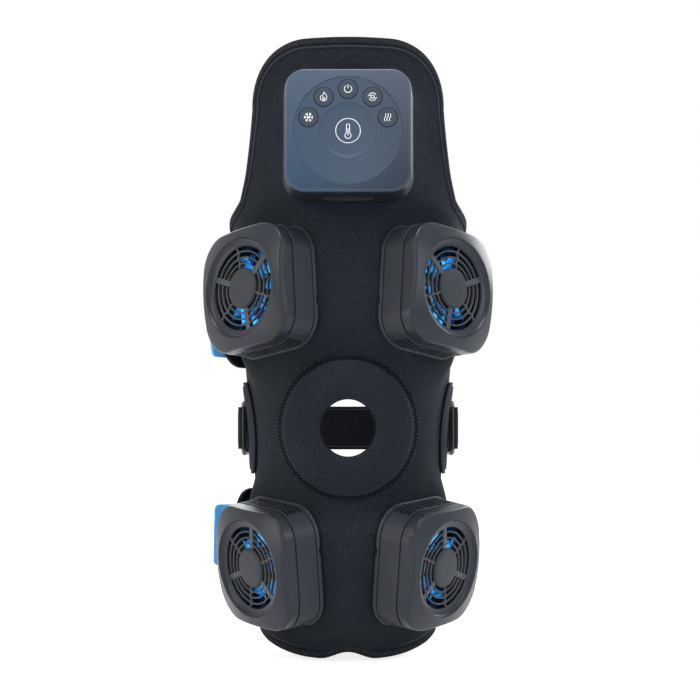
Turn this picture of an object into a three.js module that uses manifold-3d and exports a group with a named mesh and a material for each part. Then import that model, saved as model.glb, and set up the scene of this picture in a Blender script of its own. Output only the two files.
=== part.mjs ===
// A knee wrap that heats and cools: a bound neoprene panel with a kneecap hole carries a control box
// and four thermoelectric modules, each with a fan under a domed grille cap.
// Millimetres, +Z up the leg, the wearer's front towards -Y, origin on the leg's axis behind the kneecap hole.
import * as THREE from "three";
import { mergeVertices } from "three/addons/utils/BufferGeometryUtils.js";
import Module from "manifold-3d";

const wasm = await Module();
wasm.setup();

// Fits
const seam = 0.3;
const softSeam = 0.6;
const strapGap = 0.9;
const runningGap = 0.08;
const overrun = 2;
const weld = 0.0005;

// Leg inside the wrap
const hemLevel = -161;
const calfLevel = -50;
const thighLevel = 56;
const flareLevel = 155.5;
const tabLevel = 282;
const hemHalfWidth = 61;
const calfHalfWidth = 64;
const kneeHalfWidth = 68;
const thighHalfWidth = 73;
const flareHalfWidth = 83.5;
const tabHalfWidth = 93;
const hemHalfDepth = 80;
const calfHalfDepth = 84;
const kneeHalfDepth = 86;
const thighHalfDepth = 88;
const flareHalfDepth = 92;
const tabHalfDepth = 95;
const bendLevel = 95;
const calfSetback = 9.5;
const thighSetback = 3.8;

// Wrap panel
const neoprene = 5;
const panelTop = 272.5;
const tabCornerHalfWidth = 30;
const tabShoulderHalfWidth = 68;
const tabMiddleHalfWidth = 70.6;
const tabLowHalfWidth = 73.6;
const flareSideHalfWidth = 79;
const tabShoulderDrop = 46;
const tabMiddleLevel = 202;
const tabLowLevel = 181;
const flareSideLevel = 160;
const hemRise = 20;
const hemLobe = 2.6;
const holeHalfWidth = 18.3;
const holeHalfHeight = 19.6;
const panelColumns = 26;
const panelRows = 22;
const padColumns = 30;
const padRows = 4;

// Knee pad
const padHalfWidth = 50.5;
const padHalfHeight = 51;
const padHoleRim = 2.6;
const padBulge = 7;
const padEdge = 2.2;

// Thermal modules
const moduleWidth = 84;
const moduleHeight = 86;
const moduleCorner = 22;
const moduleSpread = 52.8;
const upperModuleLevel = 95.3;
const lowerModuleSpread = 46;
const lowerModuleLevel = -94.5;
const seatDepth = 16;
const seatMargin = 5;
const seatRise = 10;
const seatSlope = 24;
const seatReach = 45;
const seatSink = 1.5;
const seatSkin = 1.6;
const seatCurve = 85;
const wall = 2;
const frameLip = 1;
const frameHeight = 2.9;
const frameRound = 0.9;
const platePassage = 52;
const plateSize = 51;
const plateCorner = 4;
const chipSize = 40;
const chipHeight = 3.4;
const sinkSideRoom = 8;
const sinkEndRoom = 9;
const sinkBase = 2.8;
const finHeight = 8.6;
const finThickness = 1.2;
const finCount = 11;
const housingTop = 19.6;
const housingTaper = 0.5;
const ventRows = 4;
const ventPitch = 3.5;
const ventWidth = 1.8;
const ventFirst = 6.2;
const ventSpan = 61;
const notchLength = 5;
const notchHeight = 1.4;
const notchDrop = 13;
const grooveHeight = 1.7;
const grooveDepth = 0.9;
const capEdgeLevel = 32;
const capTaper = 0.9;
const domeRadius = 128;
const domeReach = 64;
const recessRadius = 35;
const grilleRadius = 29.6;
const grilleLevel = 30.7;
const grilleDepth = 1.9;
const ringWidth = 1.1;
const ringPitch = 4.3;
const ringCount = 3;
const hubRadius = 13.1;
const hubRise = 1.1;
const hubSlope = 1.1;
const spokeWidth = 4;
const thinSpoke = 1;
const spokeAngle = 37;
const fanSize = 60;
const fanCorner = 4;
const pocketGap = 1.2;
const fanHeight = 12;
const ductRadius = 28.7;
const bladeRadius = 27.8;
const bladeCount = 7;
const bladeHeight = 7.6;
const bladeThickness = 1.1;
const bladePitchRoot = 42;
const bladePitchTip = 26;
const rotorHubRadius = 13.6;
const rotorHeight = 9;
const shaftRadius = 1.5;
const motorPlateRadius = 14;
const motorPlate = 1.6;
const strutWidth = 4;

// Control box
const boxWidth = 86.5;
const boxHeight = 84.6;
const boxCorner = 14;
const boxLevel = 201;
const boxDepth = 27;
const boxUndercut = 7;
const boxWall = 2.4;
const boxSeatMargin = 1.5;
const dockInset = 9;
const dockThickness = 1.9;
const facePlate = 3;
const faceBevel = 1.3;
const discMargin = 4.9;
const discSink = 0.4;
const dishHollow = 1.7;
const dishRim = 1.6;
const dishThickness = 1.5;
const flangeReach = 0.9;
const flangeThickness = 1.1;
const buttonGap = 0.4;
const buttonRise = 0.5;
const buttonEdge = 0.7;
const buttonTravel = 0.8;
const stemRadius = 2;
const boardThickness = 1.6;
const boardInset = 5.5;
const boardLevel = 16.4;
const switchRadius = 3;
const postRadius = 2.4;
const postInset = 13;
const batteryWidth = 58;
const batteryHeight = 52;
const batteryDepth = 8;
const portWidth = 35;
const portHeight = 7.6;
const portThickness = 1.3;
const portLevel = 13.6;
const portPinRadius = 0.5;
const portSwingGap = 0.6;
const portBowShare = 0.55;

// Side hardware
const earThickness = 2.5;
const earHalfHeight = 33;
const earFront = 78;
const webbing = 1.6;
const loopHalfHeight = 16;
const eyeRadius = 2.6;
const strapEyeRadius = 3.3;
const ringHeight = 42;
const ringReach = 12;
const ringBar = 1.5;
const strapHalfHeight = 17.5;
const strapLift = 4.6;
const ringFront = 103;

// Upper and lower straps and their pull tabs
const strapThickness = 4;
const upperStrapLow = 46;
const upperStrapHigh = 128;
const lowerStrapLow = -130;
const lowerStrapHigh = -46;
const strapCorner = 14;
const strapFlare = 11;
const tabThickness = 1.8;
const tabHalfHeight = 30;
const tabReach = 17;
const tabOverlap = 8;
const tabCorner = 4;

const degrees = Math.PI / 180;

// Straight line between the two stations of a table that hold the level.
function between(stations, level, key) {
  const last = stations.length - 1;
  let index = 0;
  while (index < last - 1 && level > stations[index + 1].level) index += 1;
  const low = stations[index];
  const high = stations[index + 1];
  const share = THREE.MathUtils.clamp((level - low.level) / (high.level - low.level), 0, 1);
  return THREE.MathUtils.lerp(low[key], high[key], share);
}

const legStations = [
  { level: hemLevel, halfWidth: hemHalfWidth, halfDepth: hemHalfDepth },
  { level: calfLevel, halfWidth: calfHalfWidth, halfDepth: calfHalfDepth },
  { level: 0, halfWidth: kneeHalfWidth, halfDepth: kneeHalfDepth },
  { level: thighLevel, halfWidth: thighHalfWidth, halfDepth: thighHalfDepth },
  { level: flareLevel, halfWidth: flareHalfWidth, halfDepth: flareHalfDepth },
  { level: tabLevel, halfWidth: tabHalfWidth, halfDepth: tabHalfDepth },
];

// How far the bent leg's axis lies behind the knee at a level.
function legAxis(level) {
  const reach = Math.abs(level);
  const setback = level > 0 ? thighSetback : calfSetback;
  if (reach < bendLevel) return setback * (reach / bendLevel) ** 2;
  return setback + (2 * setback * (reach - bendLevel)) / bendLevel;
}

// Point at an angle round from the front, lifted off the leg's skin along its normal in plan.
function legPoint(angle, level, lift) {
  const halfWidth = between(legStations, level, "halfWidth");
  const halfDepth = between(legStations, level, "halfDepth");
  const across = Math.sin(angle);
  const along = -Math.cos(angle);
  const normal = new THREE.Vector2(across / halfWidth, along / halfDepth).normalize();
  return new THREE.Vector3(
    halfWidth * across + lift * normal.x,
    legAxis(level) + halfDepth * along + lift * normal.y,
    level,
  );
}

// Depth of the wrap's front face at a place seen from the front.
function frontFace(x, level) {
  const halfWidth = between(legStations, level, "halfWidth") + neoprene;
  const halfDepth = between(legStations, level, "halfDepth") + neoprene;
  return legAxis(level) - halfDepth * Math.sqrt(1 - Math.min(1, (x / halfWidth) ** 2));
}

function geometryOf(points, faces) {
  const positions = points.flatMap((point) => [point.x, point.y, point.z]);
  const geometry = new THREE.BufferGeometry();
  geometry.setAttribute("position", new THREE.Float32BufferAttribute(positions, 3));
  geometry.setIndex(faces.flat());
  return geometry;
}

// Closed geometry as a solid for joins and cuts.
function solidOf(geometry) {
  const bare = geometry.index ? geometry.toNonIndexed() : geometry.clone();
  bare.deleteAttribute("normal");
  bare.deleteAttribute("uv");
  const merged = mergeVertices(bare, weld);
  const vertProperties = new Float32Array(merged.attributes.position.array);
  const triVerts = new Uint32Array(merged.index.array);
  const solid = new wasm.Manifold(new wasm.Mesh({ numProp: 3, vertProperties, triVerts }));
  if (solid.volume() > 0) return solid;
  for (let i = 0; i < triVerts.length; i += 3) triVerts.subarray(i, i + 3).reverse();
  return new wasm.Manifold(new wasm.Mesh({ numProp: 3, vertProperties, triVerts }));
}

function toGeometry(solid) {
  const mesh = solid.getMesh();
  const count = mesh.numProp;
  const places = new Float32Array(mesh.numVert * 3);
  for (let i = 0; i < mesh.numVert; i += 1) {
    places.set(mesh.vertProperties.subarray(i * count, i * count + 3), i * 3);
  }
  const geometry = new THREE.BufferGeometry();
  geometry.setAttribute("position", new THREE.BufferAttribute(places, 3));
  geometry.setIndex(new THREE.BufferAttribute(mesh.triVerts, 1));
  const flat = geometry.toNonIndexed();
  flat.computeVertexNormals();
  return flat;
}

function joined(solids) {
  return solids.reduce((whole, solid) => whole.add(solid));
}

function moved(geometry, x, y, z) {
  return geometry.translate(x, y, z);
}

function block(width, height, depth, x, y, z) {
  return solidOf(moved(new THREE.BoxGeometry(width, height, depth), x, y, z));
}

// Solid of revolution about +Z from [radius, height] pairs that start and end on the axis or close.
function turned(profile, steps) {
  const points = profile.map(([radius, height]) => new THREE.Vector2(radius, height));
  return solidOf(new THREE.LatheGeometry(points, steps).rotateX(Math.PI / 2));
}

function disc(radius, low, high, steps) {
  return turned([[0, low], [radius, low], [radius, high], [0, high]], steps);
}

// Outline of a rectangle with round corners, anticlockwise.
function roundedOutline(width, height, radius, cornerSteps) {
  const points = [];
  const corners = [[1, -1, -90], [1, 1, 0], [-1, 1, 90], [-1, -1, 180]];
  for (const [side, end, start] of corners) {
    for (let step = 0; step <= cornerSteps; step += 1) {
      const angle = (start + (90 * step) / cornerSteps) * degrees;
      const x = side * (width / 2 - radius) + radius * Math.cos(angle);
      const y = end * (height / 2 - radius) + radius * Math.sin(angle);
      points.push(new THREE.Vector2(x, y));
    }
  }
  return points;
}

function extruded(outline, low, high) {
  const shape = new THREE.Shape(outline);
  const geometry = new THREE.ExtrudeGeometry(shape, { depth: high - low, bevelEnabled: false });
  return solidOf(moved(geometry, 0, 0, low));
}

// Loft through rounded rectangles, each given as [level, inset from the full outline].
function lofted(width, height, radius, cornerSteps, stations) {
  const rings = stations.map(([level, inset]) =>
    roundedOutline(width - 2 * inset, height - 2 * inset, radius - inset, cornerSteps).map(
      (point) => new THREE.Vector3(point.x, point.y, level),
    ),
  );
  return loftThrough(rings);
}

// Skin over rings of equal counts, closed by a fan at each end.
function loftThrough(rings) {
  const count = rings[0].length;
  const points = rings.flat();
  const faces = [];
  for (let ring = 0; ring < rings.length - 1; ring += 1) {
    for (let i = 0; i < count; i += 1) {
      const next = (i + 1) % count;
      const a = ring * count + i;
      const b = ring * count + next;
      faces.push([a, b, b + count], [a, b + count, a + count]);
    }
  }
  const ends = [rings[0], rings[rings.length - 1]];
  ends.forEach((ring, end) => {
    const middle = ring.reduce((sum, point) => sum.add(point), new THREE.Vector3()).divideScalar(count);
    const hub = points.push(middle) - 1;
    const base = end * (rings.length - 1) * count;
    for (let i = 0; i < count; i += 1) {
      const a = base + i;
      const b = base + ((i + 1) % count);
      faces.push(end ? [a, b, hub] : [b, a, hub]);
    }
  });
  return solidOf(geometryOf(points, faces));
}

// Cloth with a thickness: two grids of points and a rim; a ring-shaped cloth closes on its first column.
function cloth(columns, rows, outerAt, innerAt, isRing = false) {
  const points = [];
  const across = isRing ? columns : columns + 1;
  for (const pointAt of [outerAt, innerAt]) {
    for (let row = 0; row <= rows; row += 1) {
      for (let column = 0; column < across; column += 1) {
        points.push(pointAt(column / columns, row / rows));
      }
    }
  }
  const half = across * (rows + 1);
  const at = (side, column, row) => side * half + row * across + (column % across);
  const faces = [];
  for (let row = 0; row < rows; row += 1) {
    for (let column = 0; column < columns; column += 1) {
      const a = [column, row];
      const b = [column + 1, row];
      const c = [column + 1, row + 1];
      const d = [column, row + 1];
      faces.push([at(0, ...a), at(0, ...b), at(0, ...c)], [at(0, ...a), at(0, ...c), at(0, ...d)]);
      faces.push([at(1, ...c), at(1, ...b), at(1, ...a)], [at(1, ...d), at(1, ...c), at(1, ...a)]);
    }
  }
  const rim = (a, b) => {
    faces.push([at(0, ...b), at(0, ...a), at(1, ...a)], [at(0, ...b), at(1, ...a), at(1, ...b)]);
  };
  for (let column = 0; column < columns; column += 1) {
    rim([column, 0], [column + 1, 0]);
    rim([column + 1, rows], [column, rows]);
  }
  for (let row = 0; row < rows && !isRing; row += 1) {
    rim([columns, row], [columns, row + 1]);
    rim([0, row + 1], [0, row]);
  }
  return solidOf(geometryOf(points, faces));
}

const looks = {
  neoprene: { color: 0x20252c, roughness: 0.95, metalness: 0 },
  padding: { color: 0x1d2228, roughness: 0.95, metalness: 0 },
  webbing: { color: 0x16181c, roughness: 0.9, metalness: 0 },
  pullTab: { color: 0x3c9bf5, roughness: 0.85, metalness: 0 },
  ring: { color: 0x827d78, roughness: 0.45, metalness: 0.2 },
  housing: { color: 0x3e424a, roughness: 0.5, metalness: 0 },
  fan: { color: 0x14161a, roughness: 0.4, metalness: 0 },
  metal: { color: 0xc8ccd0, roughness: 0.35, metalness: 1 },
  chip: { color: 0xe8e8e4, roughness: 0.6, metalness: 0 },
  face: { color: 0x5f6e80, roughness: 0.3, metalness: 0 },
  dish: { color: 0x505d6c, roughness: 0.35, metalness: 0 },
  board: { color: 0x1c5a38, roughness: 0.6, metalness: 0 },
  battery: { color: 0x2c3e66, roughness: 0.5, metalness: 0 },
  rubber: { color: 0x1b1d20, roughness: 0.8, metalness: 0 },
};
const materials = Object.fromEntries(
  Object.entries(looks).map(([name, look]) => [name, new THREE.MeshStandardMaterial(look)]),
);

function addMesh(group, name, look, solid) {
  const mesh = new THREE.Mesh(toGeometry(solid), materials[look]);
  mesh.name = name;
  group.add(mesh);
}

// Group whose +Z is the wrap's outward normal at a place on its front, and whose +Y runs up the leg.
function seatGroup(x, level, azimuth, lean, roll) {
  const normal = new THREE.Vector3(
    Math.sin(azimuth) * Math.cos(lean),
    -Math.cos(azimuth) * Math.cos(lean),
    Math.sin(lean),
  );
  const up = new THREE.Vector3(0, 0, 1);
  up.addScaledVector(normal, -normal.z).normalize();
  const right = new THREE.Vector3().crossVectors(up, normal);
  const group = new THREE.Group();
  group.applyMatrix4(new THREE.Matrix4().makeBasis(right, up, normal));
  group.rotateZ(roll);
  group.position.set(x, frontFace(x, level), level).addScaledVector(normal, -seatSink);
  group.updateMatrixWorld(true);
  return group;
}

const upperAzimuth = 45 * degrees;
const lowerAzimuth = 52 * degrees;
const upperLean = 3.5 * degrees;
const lowerLean = -8.3 * degrees;
const upperRoll = 8 * degrees;
const lowerRoll = -5 * degrees;
const boxLean = 3.2 * degrees;
const moduleSeats = [
  { name: "upper_left", side: -1, upright: 1, spread: moduleSpread, level: upperModuleLevel },
  { name: "upper_right", side: 1, upright: 1, spread: moduleSpread, level: upperModuleLevel },
  { name: "lower_left", side: -1, upright: -1, spread: lowerModuleSpread, level: lowerModuleLevel },
  { name: "lower_right", side: 1, upright: -1, spread: lowerModuleSpread, level: lowerModuleLevel },
];

// A module's own frame: mirrored left to right, and top to bottom on the lower pair.
function moduleGroup(seat) {
  const isUpper = seat.upright > 0;
  const azimuth = seat.side * (isUpper ? upperAzimuth : lowerAzimuth);
  const lean = isUpper ? upperLean : lowerLean;
  const roll = -seat.side * (isUpper ? upperRoll : lowerRoll);
  const group = seatGroup(seat.side * seat.spread, seat.level, azimuth, lean, roll);
  group.scale.set(-seat.side, seat.upright, 1);
  group.updateMatrixWorld(true);
  return group;
}

function boxGroup() {
  return seatGroup(0, boxLevel, 0, boxLean, 0);
}

function placed(solid, group) {
  return solidOf(toGeometry(solid).applyMatrix4(group.matrixWorld));
}

// Places on the panel's side edges: the tab's outline is known by its width, the rest by its angle.
function tabAngle(halfWidth, level) {
  return Math.asin(halfWidth / (between(legStations, level, "halfWidth") + neoprene));
}

const tabShoulderLevel = panelTop - tabShoulderDrop;
const wrapRound = 121 * degrees;
const wrapWaist = 99 * degrees;
const panelEdges = [
  { level: hemLevel, angle: 104 * degrees },
  { level: hemLevel + hemRise, angle: wrapRound },
  { level: lowerStrapHigh - strapCorner, angle: wrapRound },
  { level: lowerStrapHigh + strapCorner, angle: wrapWaist },
  { level: upperStrapLow - strapCorner, angle: wrapWaist },
  { level: upperStrapLow + strapCorner, angle: wrapRound },
  { level: upperStrapHigh, angle: wrapRound },
  { level: flareSideLevel, angle: tabAngle(flareSideHalfWidth, flareSideLevel) },
  { level: tabLowLevel, angle: tabAngle(tabLowHalfWidth, tabLowLevel) },
  { level: tabMiddleLevel, angle: tabAngle(tabMiddleHalfWidth, tabMiddleLevel) },
  { level: tabShoulderLevel, angle: tabAngle(tabShoulderHalfWidth, tabShoulderLevel) },
  { level: panelTop, angle: tabAngle(tabCornerHalfWidth, panelTop) },
];

// Half angle of the panel at a level; the tab's shoulders are round.
function panelHalfAngle(level) {
  if (level <= tabShoulderLevel) return between(panelEdges, level, "angle");
  const share = (level - tabShoulderLevel) / tabShoulderDrop;
  const rounding = 1 - Math.sqrt(1 - share ** 2);
  const wide = tabAngle(tabShoulderHalfWidth, tabShoulderLevel);
  return THREE.MathUtils.lerp(wide, tabAngle(tabCornerHalfWidth, panelTop), rounding);
}

// The hem hangs in two shallow lobes and rises towards the sides.
const lobeShare = 0.34;
function hemLift(side) {
  const reach = Math.abs(side);
  const lobes = hemLobe * Math.cos(2 * Math.PI * Math.min(1, reach / lobeShare));
  return lobes + (hemRise * Math.max(0, reach - lobeShare / 2)) / (1 - lobeShare / 2);
}

const rowLevels = panelRowLevels();
function panelRowLevels() {
  const shoulderRows = 5;
  const levels = [];
  for (let row = 0; row <= panelRows; row += 1) {
    if (row <= panelRows - shoulderRows) {
      levels.push(THREE.MathUtils.lerp(hemLevel, tabShoulderLevel, row / (panelRows - shoulderRows)));
    } else {
      const share = Math.sin((90 * degrees * (row - panelRows + shoulderRows)) / shoulderRows);
      levels.push(tabShoulderLevel + tabShoulderDrop * share);
    }
  }
  return levels;
}

function panelPoint(u, v, lift) {
  const level = rowLevels[Math.round(v * panelRows)];
  const side = 2 * u - 1;
  const hemShare = Math.max(0, 1 - (level - hemLevel) / (lowerModuleLevel - hemLevel));
  return legPoint(side * panelHalfAngle(level), level + hemShare * hemLift(side), lift);
}

// Distance outside a rectangle with round corners; negative inside it.
function outsideRounded(x, y, width, height, radius) {
  const across = Math.abs(x) - width / 2 + radius;
  const along = Math.abs(y) - height / 2 + radius;
  return Math.hypot(Math.max(across, 0), Math.max(along, 0)) + Math.min(Math.max(across, along), 0) - radius;
}

// The fabric climbs to the flat back of each module and of the control box, and stays flat under the pad.
const boxSeatWidth = boxWidth - 2 * dockInset;
const boxSeatHeight = boxHeight - 2 * dockInset;
const fabricClimbs = moduleSeats.map((seat) => {
  return { group: moduleGroup(seat), width: moduleWidth, height: moduleHeight, radius: moduleCorner };
});
fabricClimbs.push({ group: boxGroup(), width: boxSeatWidth, height: boxSeatHeight, radius: boxCorner });

const padClearShares = { start: 1.12, end: 1.4 };

function raised(point) {
  const lifted = point.clone();
  const padReach = Math.hypot(point.x / padHalfWidth, point.z / padHalfHeight);
  const clear = THREE.MathUtils.smoothstep(padReach, padClearShares.start, padClearShares.end);
  for (const { group, width, height, radius } of fabricClimbs) {
    const near = group.worldToLocal(point.clone());
    const outside = outsideRounded(near.x, near.y, width, height, radius);
    const weight = 1 - THREE.MathUtils.smoothstep(outside, 0, seatSlope);
    if (near.z < -seatReach) continue;
    near.z += Math.min(-seam / 2 - near.z, seatRise) * weight * clear;
    lifted.add(group.localToWorld(near).sub(point));
  }
  return lifted;
}

// Raised fabric seat with a flat face, hollowed behind so that it ends inside the neoprene.
function fabricSeat(outline, group) {
  const hollow = new THREE.CylinderGeometry(seatCurve, seatCurve, seatCurve * 2, 40);
  const behind = solidOf(moved(hollow, 0, 0, -seatCurve - seatSkin));
  return placed(extruded(outline, -seatDepth, 0).subtract(behind), group);
}

function kneeHole() {
  const steps = 24;
  const profile = [];
  for (let step = 0; step < steps; step += 1) {
    const angle = (360 * degrees * step) / steps;
    const x = holeHalfWidth * Math.cos(angle);
    const y = holeHalfHeight * Math.sin(angle);
    profile.push(new THREE.Vector2(x, y));
  }
  const shape = new THREE.Shape(profile);
  const geometry = new THREE.ExtrudeGeometry(shape, { depth: kneeHalfDepth * 2, bevelEnabled: false });
  return solidOf(geometry.rotateX(Math.PI / 2));
}

// Point of the ring round the kneecap hole, from its inner edge to its outer one.
function padPoint(u, v, rise, spread = 0) {
  const angle = 360 * degrees * u;
  const x = THREE.MathUtils.lerp(holeHalfWidth + padHoleRim, padHalfWidth + spread, v) * Math.cos(angle);
  const level = THREE.MathUtils.lerp(holeHalfHeight + padHoleRim, padHalfHeight + spread, v) * Math.sin(angle);
  return new THREE.Vector3(x, frontFace(x, level) - rise, level);
}

// Room for the knee pad in front of the panel.
function padRoom() {
  return cloth(
    padColumns,
    padRows,
    (u, v) => padPoint(u, v, seatDepth, seam),
    (u, v) => padPoint(u, v, 0, seam),
    true,
  );
}

function wrapPanel() {
  const sheet = cloth(
    panelColumns,
    panelRows,
    (u, v) => raised(panelPoint(u, v, neoprene)),
    (u, v) => panelPoint(u, v, 0),
  );
  const seats = moduleSeats.map((seat) => {
    const width = moduleWidth - 2 * seatMargin;
    const height = moduleHeight - 2 * seatMargin;
    return fabricSeat(roundedOutline(width, height, moduleCorner - seatMargin, 2), moduleGroup(seat));
  });
  const boxSeat = roundedOutline(boxSeatWidth, boxSeatHeight, boxCorner - boxSeatMargin, 1);
  seats.push(fabricSeat(boxSeat, boxGroup()));
  const passages = moduleSeats.map((seat) => {
    const outline = roundedOutline(platePassage, platePassage, plateCorner / 2, 1);
    return placed(extruded(outline, -seatDepth * 2, seatDepth), moduleGroup(seat));
  });
  const presses = moduleSeats.map((seat) => {
    const outline = roundedOutline(moduleWidth + 2 * seatMargin, moduleHeight + 2 * seatMargin, moduleCorner, 1);
    return placed(extruded(outline, 0, seatDepth), moduleGroup(seat));
  });
  presses.push(placed(extruded(roundedOutline(boxWidth, boxHeight, boxCorner, 1), 0, seatDepth), boxGroup()));
  return joined([sheet, ...seats])
    .subtract(joined([...passages, ...presses, padRoom()]))
    .subtract(kneeHole());
}

function kneePad() {
  const crown = (v) => padEdge + (padBulge - padEdge) * Math.sin(Math.PI * Math.sqrt(v));
  return cloth(
    padColumns,
    padRows,
    (u, v) => padPoint(u, v, crown(v) + softSeam),
    (u, v) => padPoint(u, v, softSeam),
    true,
  );
}

function baseFrame() {
  const stations = [
    [seam, -frameLip],
    [frameHeight - frameRound, -frameLip],
    [frameHeight - frameRound / 3, frameRound / 3 - frameLip],
    [frameHeight, frameRound - frameLip],
  ];
  const plate = lofted(moduleWidth, moduleHeight, moduleCorner, 3, stations);
  const opening = extruded(roundedOutline(platePassage, platePassage, plateCorner, 2), -overrun, frameHeight * 2);
  const notch = block(
    frameLip * 2,
    notchLength,
    notchHeight,
    moduleWidth / 2 + frameLip,
    -notchDrop,
    seam + notchHeight / 2,
  );
  return plate.subtract(opening).subtract(notch);
}

const housingLow = frameHeight + seam;

// Rows of slots through the housing's upper and lower sides.
function ventCutters() {
  const reach = moduleCorner / 2 + overrun;
  const cutters = [];
  for (const end of [-1, 1]) {
    const depth = end * (moduleHeight / 2 + overrun - reach / 2);
    for (let row = 0; row < ventRows; row += 1) {
      cutters.push(block(ventSpan, reach, ventWidth, 0, depth, ventFirst + row * ventPitch));
    }
  }
  return joined(cutters);
}

function housing() {
  const outer = lofted(moduleWidth, moduleHeight, moduleCorner, 3, [
    [housingLow, 0],
    [housingTop, housingTaper],
  ]);
  const inner = lofted(moduleWidth, moduleHeight, moduleCorner, 3, [
    [housingLow - overrun, wall],
    [housingTop + overrun, wall + housingTaper],
  ]);
  return outer.subtract(inner).subtract(ventCutters());
}

const domeTop = capEdgeLevel + (moduleWidth / 2) ** 2 / (2 * domeRadius);

function domeLevel(radius) {
  return domeTop - radius ** 2 / (2 * domeRadius);
}

// The pillow shape under which the cap's side walls end; its crown lies inside the recess.
function dome() {
  const radii = [domeReach, moduleHeight / 2 + moduleCorner / 3, moduleWidth / 2, recessRadius - wall];
  const profile = [[0, 0], [domeReach, 0]];
  radii.forEach((radius) => profile.push([radius, domeLevel(radius)]));
  profile.push([0, domeLevel(recessRadius - wall)]);
  return turned(profile, 18);
}

// Flat bar that points outward at an angle, between two radii and two levels.
function spoke(angle, width, low, high, start, end) {
  const middle = (start + end) / 2;
  const bar = moved(new THREE.BoxGeometry(end - start, width, high - low), middle, 0, (low + high) / 2);
  return solidOf(bar.rotateZ(angle * degrees));
}

// Opening between two rings and two spokes; the spokes' half widths narrow its ends.
function grilleOpening(inner, outer, start, startHalf, end, endHalf) {
  const arcSteps = 2;
  const points = [];
  for (const radius of [outer, inner]) {
    const from = start * degrees + Math.asin(startHalf / radius);
    const to = end * degrees - Math.asin(endHalf / radius);
    for (let step = 0; step <= arcSteps; step += 1) {
      const share = radius === outer ? step / arcSteps : 1 - step / arcSteps;
      const angle = THREE.MathUtils.lerp(from, to, share);
      points.push(new THREE.Vector2(radius * Math.cos(angle), radius * Math.sin(angle)));
    }
  }
  return new THREE.Path(points.reverse());
}

// Three rings, three broad and three thin spokes as one pierced plate, with the raised hub on it.
function grille() {
  const low = grilleLevel - grilleDepth;
  const plate = new THREE.Shape().absarc(0, 0, grilleRadius + ringWidth, 0, 360 * degrees);
  for (let sector = 0; sector < 6; sector += 1) {
    const start = spokeAngle + 60 * sector;
    const halves = sector % 2 ? [thinSpoke / 2, spokeWidth / 2] : [spokeWidth / 2, thinSpoke / 2];
    for (let ring = 0; ring <= ringCount; ring += 1) {
      const inner = ring ? hubRadius + ring * ringPitch + ringWidth / 2 : hubRadius + hubSlope;
      const outer = ring < ringCount ? hubRadius + (ring + 1) * ringPitch - ringWidth / 2 : grilleRadius;
      plate.holes.push(grilleOpening(inner, outer, start, halves[0], start + 60, halves[1]));
    }
  }
  const settings = { depth: grilleDepth, bevelEnabled: false, curveSegments: 6 };
  const hub = turned([[0, low], [hubRadius, low], [hubRadius, grilleLevel + hubRise], [0, grilleLevel + hubRise]], 12);
  return solidOf(moved(new THREE.ExtrudeGeometry(plate, settings), 0, 0, low)).add(hub);
}

const grooveLow = housingTop + seam;
const grooveTop = grooveLow + grooveHeight;

function frontCap() {
  const skirt = lofted(moduleWidth, moduleHeight, moduleCorner, 3, [
    [grooveLow, housingTaper + grooveDepth],
    [grooveTop, housingTaper + grooveDepth],
    [grooveTop + seam, housingTaper],
    [domeTop + overrun, housingTaper + capTaper],
  ]);
  const ceiling = grilleLevel - grilleDepth;
  const shoulder = domeLevel(moduleHeight / 2 + moduleCorner / 3) - wall;
  const room = lofted(moduleWidth, moduleHeight, moduleCorner, 3, [
    [grooveLow - overrun, housingTaper + grooveDepth + wall],
    [shoulder, housingTaper + grooveDepth + wall],
  ]);
  const fanPocket = extruded(
    roundedOutline(fanSize + 2 * pocketGap, fanSize + 2 * pocketGap, fanCorner, 1),
    grooveLow,
    ceiling,
  );
  const recess = turned(
    [
      [0, ceiling - overrun],
      [grilleRadius, ceiling - overrun],
      [grilleRadius, grilleLevel],
      [recessRadius, domeLevel(recessRadius) - seam],
      [recessRadius, domeTop + overrun],
      [0, domeTop + overrun],
    ],
    18,
  );
  return skirt.intersect(dome()).subtract(room).subtract(fanPocket).subtract(recess).add(grille());
}

const sinkLow = seam + chipHeight + seam;
const finTop = sinkLow + sinkBase + finHeight;
const fanLow = finTop + seam;
const rotorLow = fanLow + motorPlate + 2 * seam;

function fanFrame() {
  const outline = new THREE.Shape(roundedOutline(fanSize, fanSize, fanCorner, 2));
  const bore = new THREE.Path();
  bore.absarc(0, 0, ductRadius, 0, 360 * degrees, true);
  outline.holes.push(bore);
  const settings = { depth: fanHeight, bevelEnabled: false, curveSegments: 18 };
  const duct = solidOf(moved(new THREE.ExtrudeGeometry(outline, settings), 0, 0, fanLow));
  const pieces = [duct, disc(motorPlateRadius, fanLow, fanLow + motorPlate, 12)];
  for (const third of [0, 1, 2]) {
    pieces.push(spoke(120 * third, strutWidth, fanLow, fanLow + motorPlate, hubRadius / 2, ductRadius + wall / 2));
  }
  pieces.push(disc(shaftRadius, fanLow, rotorLow + rotorHeight - wall, 8));
  return joined(pieces);
}

function fanBlade(angle) {
  const stations = [
    [rotorHubRadius - wall / 2, bladePitchRoot],
    [bladeRadius, bladePitchTip],
  ];
  const rings = stations.map(([radius, pitch]) => {
    const tilt = pitch * degrees;
    const rise = bladeHeight / 2;
    const run = rise / Math.tan(tilt);
    const thick = bladeThickness / 2 / Math.sin(tilt);
    const corners = [[-run - thick, -rise], [-run + thick, -rise], [run + thick, rise], [run - thick, rise]];
    const reach = Math.max(...corners.map(([side]) => Math.abs(side)));
    const along = Math.sqrt(Math.max(radius ** 2 - reach ** 2, (radius / 2) ** 2));
    return corners.map(([side, height]) => new THREE.Vector3(along, side, height));
  });
  const blade = toGeometry(loftThrough(rings));
  blade.rotateZ(angle * degrees);
  return solidOf(moved(blade, 0, 0, rotorLow + rotorHeight / 2));
}

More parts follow.
